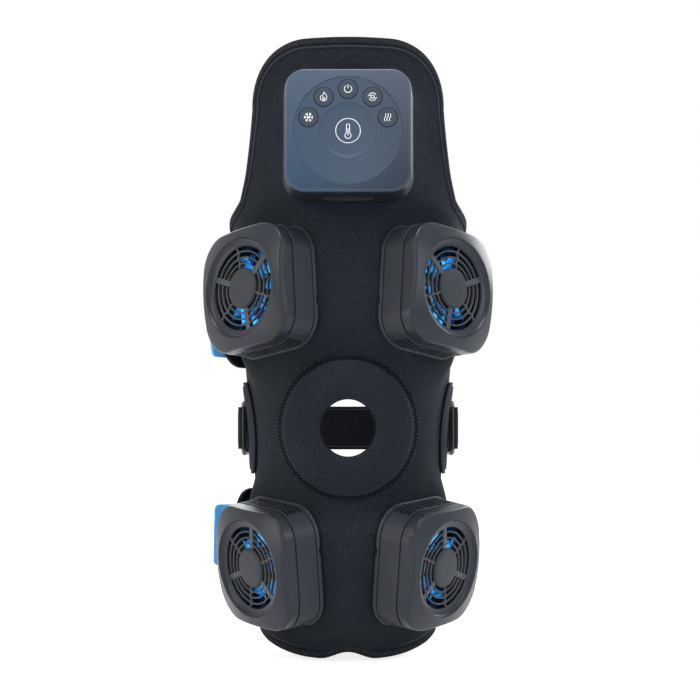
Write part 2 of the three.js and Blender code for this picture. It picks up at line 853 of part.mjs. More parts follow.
function fanRotor() {
  const top = rotorLow + rotorHeight;
  const bore = shaftRadius + runningGap;
  const hub = turned(
    [
      [bore, rotorLow],
      [rotorHubRadius, rotorLow],
      [rotorHubRadius, top],
      [0, top],
      [0, top - wall + runningGap],
      [bore, top - wall + runningGap],
      [bore, rotorLow],
    ],
    12,
  );
  const blades = [];
  for (let blade = 0; blade < bladeCount; blade += 1) blades.push(fanBlade((360 * blade) / bladeCount));
  return joined([hub, ...blades]);
}

// Comb of fins that run up the leg, so that the air leaves by the vents.
function heatSink() {
  const width = moduleWidth - 2 * (wall + sinkSideRoom);
  const height = moduleHeight - 2 * (wall + sinkEndRoom);
  const pitch = (width - finThickness) / (finCount - 1);
  const outline = [new THREE.Vector2(-width / 2, 0), new THREE.Vector2(width / 2, 0)];
  for (let fin = finCount - 1; fin >= 0; fin -= 1) {
    const left = -width / 2 + fin * pitch;
    const right = left + finThickness;
    if (fin < finCount - 1) outline.push(new THREE.Vector2(right, sinkBase));
    outline.push(new THREE.Vector2(right, sinkBase + finHeight), new THREE.Vector2(left, sinkBase + finHeight));
    if (fin > 0) outline.push(new THREE.Vector2(left, sinkBase));
  }
  const shape = new THREE.Shape(outline);
  const comb = new THREE.ExtrudeGeometry(shape, { depth: height, bevelEnabled: false });
  return solidOf(moved(comb.rotateX(Math.PI / 2), 0, height / 2, sinkLow));
}

function coolingChip() {
  return block(chipSize, chipSize, chipHeight, 0, 0, seam + chipHeight / 2);
}

function coldPlate() {
  const outline = roundedOutline(plateSize, plateSize, plateCorner, 2);
  return extruded(outline, seatSink - neoprene, 0);
}

function addModule(group, name) {
  addMesh(group, name + "_base_frame", "housing", baseFrame());
  addMesh(group, name + "_housing", "housing", housing());
  addMesh(group, name + "_grille_cap", "housing", frontCap());
  addMesh(group, name + "_fan_frame", "fan", fanFrame());
  addMesh(group, name + "_fan_rotor", "fan", fanRotor());
  addMesh(group, name + "_heat_sink", "metal", heatSink());
  addMesh(group, name + "_cooling_chip", "chip", coolingChip());
  addMesh(group, name + "_cold_plate", "metal", coldPlate());
}

const bodyLow = dockThickness + 2 * seam;
const plateLow = boxDepth - facePlate;
const bodyTop = plateLow - seam;

function boxStations(inset, low, high) {
  const insetShares = [1, 0.45, 0.1, 0];
  const levelShares = [0, 0.1, 0.42, 1];
  return insetShares.map((share, index) => [
    THREE.MathUtils.lerp(low, high, levelShares[index]),
    boxUndercut * share + inset,
  ]);
}

function controlBody() {
  const outer = lofted(boxWidth, boxHeight, boxCorner, 4, boxStations(0, bodyLow, bodyTop));
  const inner = lofted(boxWidth, boxHeight, boxCorner, 4, boxStations(boxWall, bodyLow + boxWall, bodyTop + overrun));
  const posts = cornersOf(boxWidth / 2 - postInset, boxHeight / 2 - postInset).map(([x, y]) =>
    moved(new THREE.CylinderGeometry(postRadius, postRadius, boardLevel - bodyLow - seam, 8)
      .rotateX(Math.PI / 2), x, y, (boardLevel + bodyLow - seam) / 2),
  );
  return outer.subtract(inner).add(joined(posts.map(solidOf))).subtract(portPocket());
}

function cornersOf(x, y) {
  return [[x, y], [-x, y], [-x, -y], [x, -y]];
}

// Depth of the body's lower side at a level, in the box's own frame.
function sideDepth(level) {
  const stations = boxStations(0, bodyLow, bodyTop).map(([place, inset]) => ({ level: place, inset }));
  return boxHeight / 2 - between(stations, level, "inset");
}

// Outline of the port cover in the plane of the side: straight at the hinge, bowed at the free edge.
function portOutline(margin, swingMargin) {
  const shape = [];
  const halfWidth = portWidth / 2 + margin;
  const steps = 10;
  shape.push(new THREE.Vector2(halfWidth, swingMargin));
  shape.push(new THREE.Vector2(-halfWidth, swingMargin));
  for (let step = 0; step <= steps; step += 1) {
    const share = (2 * step) / steps - 1;
    const drop = portHeight * (1 - portBowShare * share ** 4) + swingMargin;
    shape.push(new THREE.Vector2(halfWidth * share, -drop));
  }
  return shape;
}

// Skin of the body's lower side between two depths under its surface, cut to an outline.
function portSkin(outline, near, far) {
  const shape = new THREE.Shape(outline);
  const geometry = new THREE.ExtrudeGeometry(shape, { depth: boxHeight / 2, bevelEnabled: false });
  const prism = solidOf(moved(geometry.rotateX(Math.PI / 2), 0, 0, portLevel));
  const outer = lofted(boxWidth, boxHeight, boxCorner, 4, boxStations(near, bodyLow, bodyTop));
  const inner = lofted(boxWidth, boxHeight, boxCorner, 4, boxStations(far, bodyLow - overrun, bodyTop + overrun));
  return prism.intersect(outer).subtract(inner);
}

// Rod across the port cover near its upper edge; its ends turn in the body.
function portPins(margin) {
  const reach = portWidth + portPinRadius * 6 + 2 * margin;
  const pin = new THREE.CylinderGeometry(portPinRadius + margin, portPinRadius + margin, reach, 8);
  const level = portLevel - portThickness / 2;
  return solidOf(moved(pin.rotateZ(Math.PI / 2), 0, portThickness / 2 + seam - sideDepth(level), level));
}

function portPocket() {
  return portSkin(portOutline(seam, portSwingGap), -overrun, portThickness + 2 * seam).add(portPins(runningGap));
}

function portCover() {
  return portSkin(portOutline(0, 0), seam, portThickness + seam).add(portPins(0));
}

// The disc keeps its margin in the face, and the buttons and the dish keep their shares of the disc.
const discRadius = Math.min(boxWidth, boxHeight) / 2 - discMargin;
const buttonShares = { circle: 0.757, radius: 0.174, dish: 0.519 };
const buttonCircle = discRadius * buttonShares.circle;
const buttonRadius = discRadius * buttonShares.radius;
const dishRadius = discRadius * buttonShares.dish;

function buttonPlaces() {
  return [-72, -36, 0, 36, 72].map((angle) => {
    const turn = angle * degrees;
    return [buttonCircle * Math.sin(turn), buttonCircle * Math.cos(turn)];
  });
}

const discLevel = boxDepth - discSink;

function controlFace() {
  const plate = lofted(boxWidth, boxHeight, boxCorner, 4, [
    [plateLow, 0],
    [boxDepth - faceBevel, 0],
    [boxDepth - faceBevel / 3, faceBevel / 3],
    [boxDepth, faceBevel],
  ]);
  const dishHole = disc(dishRadius + seam, plateLow - overrun, boxDepth + overrun, 18);
  const sink = disc(discRadius, discLevel, boxDepth + overrun, 30);
  const holes = buttonPlaces().map(([x, y]) =>
    solidOf(
      moved(
        new THREE.CylinderGeometry(buttonRadius + buttonGap, buttonRadius + buttonGap, boxDepth, 12)
          .rotateX(Math.PI / 2),
        x,
        y,
        boxDepth,
      ),
    ),
  );
  return plate.subtract(joined([dishHole, sink, ...holes]));
}

function dish() {
  const flangeTop = plateLow - seam;
  const base = discLevel - dishHollow - dishThickness;
  const low = Math.min(base, flangeTop - flangeThickness);
  return turned(
    [
      [0, low],
      [dishRadius + flangeReach, low],
      [dishRadius + flangeReach, flangeTop],
      [dishRadius, flangeTop],
      [dishRadius, discLevel],
      [dishRadius - dishRim / 2, discLevel],
      [dishRadius - 2 * dishRim, discLevel - dishHollow * 0.7],
      [dishRadius - 4 * dishRim, discLevel - dishHollow],
      [0, discLevel - dishHollow],
    ],
    18,
  );
}

const switchTop = plateLow - flangeThickness - seam - buttonTravel - stemGap();

function stemGap() {
  return 2 * seam;
}

function controlButton(x, y) {
  const top = discLevel + buttonRise;
  const flangeTop = plateLow - seam;
  const flangeLow = flangeTop - flangeThickness;
  const cap = turned(
    [
      [0, switchTop + buttonTravel + seam / 2],
      [stemRadius, switchTop + buttonTravel + seam / 2],
      [stemRadius, flangeLow],
      [buttonRadius + flangeReach, flangeLow],
      [buttonRadius + flangeReach, flangeTop],
      [buttonRadius, flangeTop],
      [buttonRadius, top - buttonEdge],
      [buttonRadius - buttonEdge, top],
      [0, top - seam],
    ],
    12,
  );
  return solidOf(moved(toGeometry(cap), x, y, 0));
}

function circuitBoard() {
  const width = boxWidth - 2 * boardInset;
  const height = boxHeight - 2 * boardInset;
  const board = extruded(
    roundedOutline(width, height, boxCorner - boardInset, 3),
    boardLevel,
    boardLevel + boardThickness,
  );
  const switches = buttonPlaces().map(([x, y]) =>
    solidOf(
      moved(
        new THREE.CylinderGeometry(switchRadius, switchRadius, switchTop - boardLevel, 8).rotateX(Math.PI / 2),
        x,
        y,
        (switchTop + boardLevel) / 2,
      ),
    ),
  );
  return joined([board, ...switches]);
}

function batteryPack() {
  const low = bodyLow + boxWall + seam;
  return extruded(roundedOutline(batteryWidth, batteryHeight, plateCorner, 3), low, low + batteryDepth);
}

function dockPlate() {
  const outline = roundedOutline(
    boxWidth - 2 * dockInset,
    boxHeight - 2 * dockInset,
    boxCorner - boxSeatMargin,
    5,
  );
  return extruded(outline, seam, seam + dockThickness);
}

function addControlBox(group) {
  addMesh(group, "control_dock_plate", "housing", dockPlate());
  addMesh(group, "control_body", "housing", controlBody());
  addMesh(group, "control_face", "face", controlFace());
  addMesh(group, "control_dish", "dish", dish());
  addMesh(group, "control_board", "board", circuitBoard());
  addMesh(group, "battery_pack", "battery", batteryPack());
  addMesh(group, "port_cover", "rubber", portCover());
  const names = ["cold", "heat", "power", "contrast", "wave"];
  buttonPlaces().forEach(([x, y], index) => {
    addMesh(group, "button_" + names[index], "housing", controlButton(x, y));
  });
}

// Patch sewn over the panel's side edge; it carries the webbing loop.
function ear(side) {
  const place = (u, v, lift) => {
    const row = 2 * v - 1;
    const bow = Math.sqrt(1 - 0.75 * row ** 2);
    const middle = (earFront + wrapWaist / degrees) / 2;
    const reach = middle + (u * 2 - 1) * (middle - earFront) * bow;
    return legPoint(side * reach * degrees, row * earHalfHeight, neoprene + softSeam + lift);
  };
  return cloth(4, 6, (u, v) => place(u, v, earThickness), (u, v) => place(u, v, 0));
}

// Path in plan along the leg at one lift, from one angle to another.
function planPath(from, to, lift, steps) {
  const path = [];
  for (let step = 0; step <= steps; step += 1) {
    const angle = THREE.MathUtils.lerp(from, to, step / steps) * degrees;
    const point = legPoint(angle, 0, lift);
    path.push(new THREE.Vector2(point.x, point.y));
  }
  return path;
}

// Band of one thickness along a path in plan, standing between two levels.
function band(path, thickness, low, high) {
  const sides = [thickness / 2, -thickness / 2].map((offset) =>
    path.map((point, index) => {
      const before = path[Math.max(0, index - 1)];
      const after = path[Math.min(path.length - 1, index + 1)];
      const along = after.clone().sub(before).normalize();
      return new THREE.Vector2(point.x - along.y * offset, point.y + along.x * offset);
    }),
  );
  const outline = [...sides[0], ...sides[1].reverse()];
  return extruded(outline, low, high);
}

function post(point, radius, low, high, steps) {
  const cylinder = new THREE.CylinderGeometry(radius, radius, high - low, steps).rotateX(Math.PI / 2);
  return solidOf(moved(cylinder, point.x, point.y, (low + high) / 2));
}

// The ear leans out with the leg, so the upright loop stands clear of it at its upper end.
const earLean = ((thighHalfWidth - kneeHalfWidth) * loopHalfHeight) / thighLevel;
const ringLift = neoprene + softSeam + earThickness + softSeam + earLean + webbing + eyeRadius;

function ringEyes(side) {
  const front = legPoint(side * ringFront * degrees, 0, ringLift);
  const ahead = legPoint(side * (ringFront + 1) * degrees, 0, ringLift);
  const along = ahead.clone().sub(front).normalize();
  const back = front.clone().addScaledVector(along, ringReach);
  return { front, back, along };
}

// Webbing sewn to the ear that runs round the ring's front bar.
function ringLoop(side) {
  const { front } = ringEyes(side);
  const path = planPath(side * (earFront + 6), side * ringFront, ringLift - eyeRadius, 5);
  const strip = band(path, webbing * 2, -loopHalfHeight, loopHalfHeight);
  const eye = post(front, eyeRadius + webbing, -loopHalfHeight, loopHalfHeight, 12);
  const hollow = post(front, eyeRadius, -loopHalfHeight - overrun, loopHalfHeight + overrun, 12);
  return strip.add(eye).subtract(hollow);
}

// Rounded wire ring in the upright plane through its two bars.
function sideRing(side) {
  const { front, back, along } = ringEyes(side);
  const middle = front.clone().add(back).multiplyScalar(0.5);
  const radius = ringBar * 2;
  const outer = upright(roundedOutline(ringReach + 2 * ringBar, ringHeight, radius + ringBar, 2), middle, along);
  const inner = upright(
    roundedOutline(ringReach - 2 * ringBar, ringHeight - 4 * ringBar, radius - ringBar, 2),
    middle,
    along,
    overrun,
  );
  return outer.subtract(inner);
}

// Plate of an outline standing upright, its x along a direction in plan.
function upright(outline, middle, along, extra = 0) {
  const depth = 2 * (ringBar + extra);
  const geometry = new THREE.ExtrudeGeometry(new THREE.Shape(outline), { depth, bevelEnabled: false });
  geometry.translate(0, 0, -depth / 2);
  const up = new THREE.Vector3(0, 0, 1);
  const across = new THREE.Vector3().crossVectors(along, up);
  const basis = new THREE.Matrix4().makeBasis(along, up, across);
  return solidOf(geometry.applyMatrix4(basis.setPosition(middle.x, middle.y, 0)));
}

// Strap behind the knee, folded round the rear bar of each ring.
function midStrap() {
  const eyes = [-1, 1].map((side) => ringEyes(side).back);
  const startAngle = ringFront + 12;
  const path = planPath(-startAngle - 6, startAngle + 6 - 360, neoprene + strapLift, 16);
  path.unshift(new THREE.Vector2(eyes[0].x, eyes[0].y));
  path.push(new THREE.Vector2(eyes[1].x, eyes[1].y));
  const strip = band(path, webbing, -strapHalfHeight, strapHalfHeight);
  const ends = eyes.map((eye) => post(eye, strapEyeRadius + webbing, -strapHalfHeight, strapHalfHeight, 12));
  const hollows = eyes.map((eye) =>
    post(eye, strapEyeRadius, -strapHalfHeight - overrun, strapHalfHeight + overrun, 12),
  );
  return joined([strip, ...ends]).subtract(joined(hollows));
}

// Padded strap round the back: it starts over the right edge and its free end stands off on the left.
const strapStart = 108;
const strapEnd = 274;
const strapLap = 242;

function strapPoint(u, level, lift) {
  const angle = THREE.MathUtils.lerp(strapStart, strapEnd, u);
  const over = Math.max(0, angle - strapLap) / (strapEnd - strapLap);
  return legPoint(angle * degrees, level, neoprene + strapGap + lift + strapFlare * over ** 2);
}

function backStrap(low, high) {
  const middle = (low + high) / 2;
  const place = (u, v, lift) => {
    const endShare = THREE.MathUtils.clamp((u - 1 + cornerShare) / cornerShare, 0, 1);
    const shrink = strapCorner * (1 - Math.sqrt(1 - endShare ** 2));
    const half = (high - low) / 2 - shrink;
    return strapPoint(u, middle + (2 * v - 1) * half, lift);
  };
  return cloth(16, 3, (u, v) => place(cornerStep(u), v, strapThickness), (u, v) => place(cornerStep(u), v, 0));
}
const cornerShare = 0.09;

// Crowds the last columns into the rounded end.
function cornerStep(u) {
  const bend = 0.8;
  if (u <= bend) return (u / bend) * (1 - cornerShare);
  const angle = ((u - bend) / (1 - bend)) * 90 * degrees;
  return 1 - cornerShare + cornerShare * Math.sin(angle);
}

// Flat tab sewn on the outside of a strap's free end, slanted by a shear along its height.
function pullTab(low, high, tilt) {
  const middle = (low + high) / 2;
  const slant = Math.tan(tilt * degrees);
  const place = (u, v, lift) => {
    const run = u * (tabReach + tabOverlap);
    const toEnd = Math.max(0, run - tabReach - tabOverlap + tabCorner);
    const half = tabHalfHeight - tabCorner + Math.sqrt(Math.max(0, tabCorner ** 2 - toEnd ** 2));
    const drop = (2 * v - 1) * half;
    const end = strapPoint(1, middle + drop, strapThickness + strapGap + lift);
    const before = strapPoint(1 - cornerShare, middle + drop, strapThickness + strapGap + lift);
    const along = end.clone().sub(before).setZ(0).normalize();
    return end.addScaledVector(along, run - tabOverlap + slant * drop);
  };
  const crowd = (u) => Math.sin(90 * degrees * u);
  return cloth(4, 5, (u, v) => place(crowd(u), v, tabThickness), (u, v) => place(crowd(u), v, 0));
}

const wrap = new THREE.Group();
addMesh(wrap, "wrap_panel", "neoprene", wrapPanel());
addMesh(wrap, "knee_pad", "padding", kneePad());
for (const [name, side] of [["left", -1], ["right", 1]]) {
  addMesh(wrap, name + "_ear", "neoprene", ear(side));
  addMesh(wrap, name + "_ring_loop", "webbing", ringLoop(side));
  addMesh(wrap, name + "_ring", "ring", sideRing(side));
}
addMesh(wrap, "mid_strap", "webbing", midStrap());
addMesh(wrap, "upper_strap", "neoprene", backStrap(upperStrapLow, upperStrapHigh));
addMesh(wrap, "lower_strap", "neoprene", backStrap(lowerStrapLow, lowerStrapHigh));
addMesh(wrap, "upper_pull_tab", "pullTab", pullTab(upperStrapLow, upperStrapHigh, 6));
addMesh(wrap, "lower_pull_tab", "pullTab", pullTab(lowerStrapLow, lowerStrapHigh, -4));

const machine = new THREE.Group();
machine.add(wrap);
for (const seat of moduleSeats) {
  const group = moduleGroup(seat);
  addModule(group, seat.name);
  machine.add(group);
}
const control = boxGroup();
addControlBox(control);
machine.add(control);

export default machine;
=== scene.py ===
import math
import bpy
import bmesh
from mathutils import Matrix, Vector


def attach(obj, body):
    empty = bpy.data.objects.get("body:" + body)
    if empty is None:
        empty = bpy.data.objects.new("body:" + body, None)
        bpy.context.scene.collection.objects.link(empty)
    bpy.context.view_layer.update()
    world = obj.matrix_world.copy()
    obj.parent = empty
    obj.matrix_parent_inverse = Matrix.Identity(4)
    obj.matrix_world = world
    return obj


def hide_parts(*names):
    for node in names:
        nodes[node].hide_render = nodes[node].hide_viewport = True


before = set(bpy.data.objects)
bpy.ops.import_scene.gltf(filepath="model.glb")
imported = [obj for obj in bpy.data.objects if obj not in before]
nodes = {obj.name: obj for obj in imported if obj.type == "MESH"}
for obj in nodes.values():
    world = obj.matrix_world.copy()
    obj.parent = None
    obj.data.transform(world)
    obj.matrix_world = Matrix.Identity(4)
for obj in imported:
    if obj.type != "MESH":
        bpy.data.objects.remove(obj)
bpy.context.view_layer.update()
scene = bpy.context.scene
toMetres = 0.001  # pieces are modelled in millimetres
print("frame loaded")


# Studio: camera level with the knee, soft lamps, pale floor
studio = {
    "cameraDistance": 1.130,
    "lens": 77.14,
    "shiftAcross": 0.0028,
    "shiftUp": 0.1114,
    "sensorWidth": 36,
    "clip": (0.05, 50),
    "worldColor": (0.92, 0.95, 1.0),
    "worldStrength": 0.3,
    "lamps": [
        # name, place, aim, size, power, color
        ("leftLamp", (-1.5, -1.3, 1.1), (0, 0, 0.05), 1.0, 14, (1.0, 0.93, 0.86)),
        ("rightLamp", (1.6, -1.0, 0.7), (0, 0, 0.05), 1.0, 11, (0.82, 0.9, 1.0)),
        ("frontLamp", (0.1, -2.1, 0.35), (0, 0, 0.05), 1.4, 5, (0.88, 0.94, 1.0)),
        ("topLamp", (0.15, -0.5, 1.7), (0, 0, 0.1), 0.9, 19, (1.0, 0.97, 0.93)),
        ("leftLowLamp", (-1.7, -0.6, 0.0), (0, 0, 0), 0.7, 6, (1.0, 0.94, 0.88)),
        ("rimLamp", (1.25, 1.2, 0.75), (0, 0, 0), 0.8, 13, (0.92, 0.96, 1.0)),
        ("rearLamp", (-0.4, 1.8, 0.9), (0, 0, 0.05), 1.2, 12, (0.9, 0.95, 1.0)),
    ],
}
floorForm = {
    "level": -0.1665, "size": 6, "color": (0.86, 0.86, 0.86, 1), "roughness": 0.8, "specular": 0.1,
    "lift": 0.74, "liftEnd": 0.35, "whiteStart": 1.6,  # its own light near the object, and where it turns white
}


def addNode(tree, kind, values={}, links={}, operation=None):  # a node with its constants and incoming links
    node = tree.nodes.new(kind)
    if operation:
        node.operation = operation
    for socket, value in values.items():
        node.inputs[socket].default_value = value
    for socket, output in links.items():
        tree.links.new(output, node.inputs[socket])
    return node


def seenDirectly(tree):  # 1 for rays from the camera, off a gloss or through glass, which see white surroundings
    rays = addNode(tree, "ShaderNodeLightPath").outputs
    pair = {0: rays["Is Camera Ray"], 1: rays["Is Glossy Ray"]}
    either = addNode(tree, "ShaderNodeMath", {}, pair, "MAXIMUM")
    pair = {0: either.outputs["Value"], 1: rays["Is Transmission Ray"]}
    return addNode(tree, "ShaderNodeMath", {}, pair, "MAXIMUM").outputs["Value"]


def makeStudio():
    cameraData = bpy.data.cameras.new("camera")
    camera = bpy.data.objects.new("camera", cameraData)
    scene.collection.objects.link(camera)
    camera.location = (0, -studio["cameraDistance"], 0)
    camera.rotation_euler = (math.radians(90), 0, 0)
    cameraData.sensor_width = studio["sensorWidth"]
    cameraData.lens = studio["lens"]
    cameraData.shift_x = studio["shiftAcross"]
    cameraData.shift_y = studio["shiftUp"]
    cameraData.clip_start, cameraData.clip_end = studio["clip"]
    scene.camera = camera
    for name, place, aim, size, power, color in studio["lamps"]:
        lampData = bpy.data.lights.new(name, "AREA")
        lampData.shape = "DISK"
        lampData.size = size
        lampData.energy = power
        lampData.color = color
        lamp = bpy.data.objects.new(name, lampData)
        scene.collection.objects.link(lamp)
        lamp.location = place
        lamp.rotation_euler = (Vector(aim) - Vector(place)).to_track_quat("-Z", "Y").to_euler()
    world = bpy.data.worlds.new("studioWorld")
    scene.world = world
    world.use_nodes = True
    tree = world.node_tree
    background = tree.nodes["Background"]
    background.inputs["Color"].default_value = (*studio["worldColor"], 1)
    background.inputs["Strength"].default_value = studio["worldStrength"]
    white = addNode(tree, "ShaderNodeBackground", {"Color": (1, 1, 1, 1)})
    mix = addNode(tree, "ShaderNodeMixShader", {}, {
        "Fac": seenDirectly(tree), 1: background.outputs["Background"], 2: white.outputs["Background"]})
    tree.links.new(mix.outputs["Shader"], tree.nodes["World Output"].inputs["Surface"])
    scene.view_settings.view_transform = "Standard"


def makeFloor():
    bm = bmesh.new()
    bmesh.ops.create_grid(bm, x_segments=2, y_segments=2, size=floorForm["size"])
    bmesh.ops.translate(bm, vec=(0, 0, floorForm["level"]), verts=bm.verts)
    mesh = bpy.data.meshes.new("floor")
    bm.to_mesh(mesh)
    bm.free()
    floor = bpy.data.objects.new("floor", mesh)
    scene.collection.objects.link(floor)
    paint = bpy.data.materials.new("palePaint")
    paint.use_nodes = True
    tree = paint.node_tree
    shader = tree.nodes["Principled BSDF"]
    shader.inputs["Base Color"].default_value = floorForm["color"]
    shader.inputs["Roughness"].default_value = floorForm["roughness"]
    shader.inputs["Specular IOR Level"].default_value = floorForm["specular"]
    place = addNode(tree, "ShaderNodeTexCoord")
    reach = addNode(tree, "ShaderNodeVectorMath", {}, {0: place.outputs["Object"]}, "LENGTH")
    whiter = addNode(tree, "ShaderNodeMapRange", {
        "From Min": floorForm["liftEnd"], "From Max": floorForm["whiteStart"],
        "To Min": floorForm["lift"], "To Max": 1.0}, {"Value": reach.outputs["Value"]})
    lift = addNode(tree, "ShaderNodeEmission", {}, {"Strength": whiter.outputs["Result"]})
    none = addNode(tree, "ShaderNodeEmission", {"Strength": 0})
    pick = addNode(tree, "ShaderNodeMixShader", {}, {
        "Fac": seenDirectly(tree), 1: none.outputs["Emission"], 2: lift.outputs["Emission"]})
    add = addNode(tree, "ShaderNodeAddShader", {}, {0: shader.outputs["BSDF"], 1: pick.outputs["Shader"]})
    tree.links.new(add.outputs["Shader"], tree.nodes["Material Output"].inputs["Surface"])
    mesh.materials.append(paint)


makeStudio()
makeFloor()
print("studio ready")


# Materials: colours are written as they look on screen, 0 to 255
def screenColor(color):
    def linear(value):
        value = value / 255
        return value / 12.92 if value <= 0.04045 else ((value + 0.055) / 1.055) ** 2.4

    return (*[linear(value) for value in color], 1)


class Recipe:  # a material and the few nodes that its finish needs
    def __init__(self, name, roughness, metallic=0.0, specular=0.5):
        self.material = bpy.data.materials.new(name)
        self.material.use_nodes = True
        self.tree = self.material.node_tree
        self.shader = self.tree.nodes["Principled BSDF"]
        self.shader.inputs["Roughness"].default_value = roughness
        self.shader.inputs["Metallic"].default_value = metallic
        self.shader.inputs["Specular IOR Level"].default_value = specular
        self.place = self.add("ShaderNodeTexCoord").outputs["Object"]
        self.height = None

    def add(self, kind, values={}, links={}, operation=None):
        return addNode(self.tree, kind, values, links, operation)

    def feed(self, socket, output):
        self.tree.links.new(output, self.shader.inputs[socket])

    def noise(self, scale, detail=2.0, stretch=None):
        place = self.place
        if stretch:
            place = self.add("ShaderNodeMapping", {"Scale": stretch}, {"Vector": place}).outputs["Vector"]
        return self.add("ShaderNodeTexNoise", {"Scale": scale, "Detail": detail}, {"Vector": place}).outputs["Fac"]

    def ramp(self, value, stops):
        node = self.add("ShaderNodeValToRGB", {}, {"Fac": value})
        elements = node.color_ramp.elements
        while len(elements) < len(stops):
            elements.new(0.5)
        for element, (position, color) in zip(elements, stops):
            element.position = position
            element.color = screenColor(color)
        return node.outputs["Color"]

    def blendColors(self, factor, first, second):
        node = self.add("ShaderNodeMix")
        node.data_type = "RGBA"
        if isinstance(factor, float):
            node.inputs["Factor"].default_value = factor
        else:
            self.tree.links.new(factor, node.inputs["Factor"])
        self.tree.links.new(first, node.inputs[6])
        self.tree.links.new(second, node.inputs[7])
        return node.outputs[2]

    def flat(self, color):
        node = self.add("ShaderNodeRGB")
        node.outputs["Color"].default_value = screenColor(color)
        return node.outputs["Color"]

    def spread(self, value, low, high):  # roughness that varies over the surface
        node = self.add("ShaderNodeMapRange", {"To Min": low, "To Max": high}, {"Value": value})
        self.feed("Roughness", node.outputs["Result"])

    def bump(self, value, strength, distance):
        links = {"Height": value, "Normal": self.height} if self.height else {"Height": value}
        node = self.add("ShaderNodeBump", {"Strength": strength, "Distance": distance}, links)
        self.height = node.outputs["Normal"]
        self.feed("Normal", self.height)

    def along(self, axis):  # one coordinate of the place, in metres
        return self.add("ShaderNodeSeparateXYZ", {}, {"Vector": self.place}).outputs[axis]

    def vector(self, operation, first, second=(0, 0, 0)):
        return self.add("ShaderNodeVectorMath", {1: second}, {0: first}, operation).outputs

    def mapped(self, value, low, high):  # 0 at low and 1 at high
        node = self.add("ShaderNodeMapRange", {"From Min": low, "From Max": high}, {"Value": value})
        return node.outputs["Result"]


def makeFabric(name, look):
    recipe = Recipe(name, look["roughness"], 0.0, look["specular"])
    broad = recipe.noise(look["broad"], 2.0)
    fine = recipe.noise(look["fine"], 3.0)
    shade = recipe.ramp(broad, list(zip(look["shadeStops"], (look["dark"], look["light"]))))
    specks = (look["speckDark"], look["dark"], look["speckLight"])
    speck = recipe.ramp(fine, list(zip(look["speckStops"], specks)))
    recipe.feed("Base Color", recipe.blendColors(look["speckShare"], shade, speck))
    recipe.bump(recipe.noise(look["fine"] * look["weave"], 3.0), look["bump"], look["bumpDepth"])
    recipe.bump(recipe.noise(look["soft"], 1.5), look["softBump"], look["softDepth"])
    recipe.shader.inputs["Sheen Weight"].default_value = look["sheen"]
    recipe.shader.inputs["Sheen Roughness"].default_value = look["sheenRoughness"]
    # a painted glow: the fabric emits its light colour, as if lit, though it is no lamp
    if "glow" in look:
        recipe.shader.inputs["Emission Color"].default_value = screenColor(look["light"])
        recipe.shader.inputs["Emission Strength"].default_value = look["glow"]
    return recipe.material


neopreneLook = {
    "roughness": 0.88, "specular": 0.12, "sheen": 0.03, "sheenRoughness": 0.5,
    "broad": 14.0, "fine": 1500.0, "weave": 0.7, "soft": 16.0,  # scales of the shades, the specks and the bumps
    "bump": 0.45, "bumpDepth": 0.0004, "softBump": 0.10, "softDepth": 0.004,
    "dark": (23, 28, 34), "light": (35, 40, 47), "speckDark": (13, 16, 21), "speckLight": (58, 65, 76),
    "shadeStops": (0.3, 0.72), "speckStops": (0.36, 0.5, 0.68), "speckShare": 0.5,
}
padLook = dict(neopreneLook, dark=(25, 30, 38), light=(36, 41, 50), broad=22.0, softBump=0.06)
bindingLook = dict(neopreneLook, dark=(13, 15, 19), light=(24, 27, 33), fine=2400.0, bump=0.3)
webbingLook = dict(neopreneLook, dark=(17, 19, 22), light=(30, 35, 42), fine=2400.0, bump=0.5)
# the tab's colours are set lighter and it has a painted glow, both to lift it out of the module's shade; the tab
# thread takes the painted glow too
tabLook = dict(
    neopreneLook, roughness=0.8, sheen=0.1, glow=0.22, broad=60.0, soft=60.0, bump=0.7, softBump=0.08,
    dark=(76, 170, 255), light=(108, 192, 255), speckDark=(54, 140, 236), speckLight=(150, 212, 255))
neoprene = makeFabric("neopreneKnit", neopreneLook)
padCloth = makeFabric("padKnit", padLook)
bindingTape = makeFabric("bindingTape", bindingLook)
webbing = makeFabric("strapWebbing", webbingLook)
tabFelt = makeFabric("blueTabFelt", tabLook)
pipingCord = makeFabric("pipingCord", dict(bindingLook, dark=(54, 61, 72), light=(72, 80, 92)))
threadGrey = makeFabric("threadGrey", dict(neopreneLook, dark=(84, 84, 86), light=(112, 110, 108), fine=4000.0))
threadBlack = makeFabric("threadBlack", dict(
    neopreneLook, dark=(3, 3, 4), light=(7, 8, 10), speckDark=(1, 1, 2), speckLight=(14, 15, 18), fine=4000.0,
    specular=0.0, sheen=0.0))
tabThread = makeFabric("tabThread", dict(tabLook, dark=(34, 120, 220), light=(60, 150, 240), fine=4000.0))


def plasticRecipe(name, look):
    recipe = Recipe(name, look["roughness"], 0.0, look["specular"])
    shade = recipe.ramp(recipe.noise(look["broad"], 2.0), [(0.3, look["dark"]), (0.7, look["light"])])
    grain = recipe.noise(look["grain"], 2.0)
    specks = recipe.ramp(grain, [(0.35, look["dark"]), (0.65, look["light"])])
    recipe.feed("Base Color", recipe.blendColors(look["grainShare"], shade, specks))
    recipe.bump(grain, look["bump"], look["bumpDepth"])
    glossier, duller = look["spread"]
    recipe.spread(
        recipe.noise(look["broad"] * 3, 3.0), look["roughness"] - glossier, look["roughness"] + duller)
    return recipe


housingLook = {
    "roughness": 0.42, "spread": (0.04, 0.05), "specular": 0.2, "dark": (38, 42, 50), "light": (49, 53, 60),
    "broad": 18.0, "grain": 2600.0, "grainShare": 0.35, "bump": 0.18, "bumpDepth": 0.00012,
}


def makePlastic(name, dark, light, roughness):  # the housing's plastic in a colour and gloss of its own
    return plasticRecipe(name, dict(housingLook, dark=dark, light=light, roughness=roughness)).material


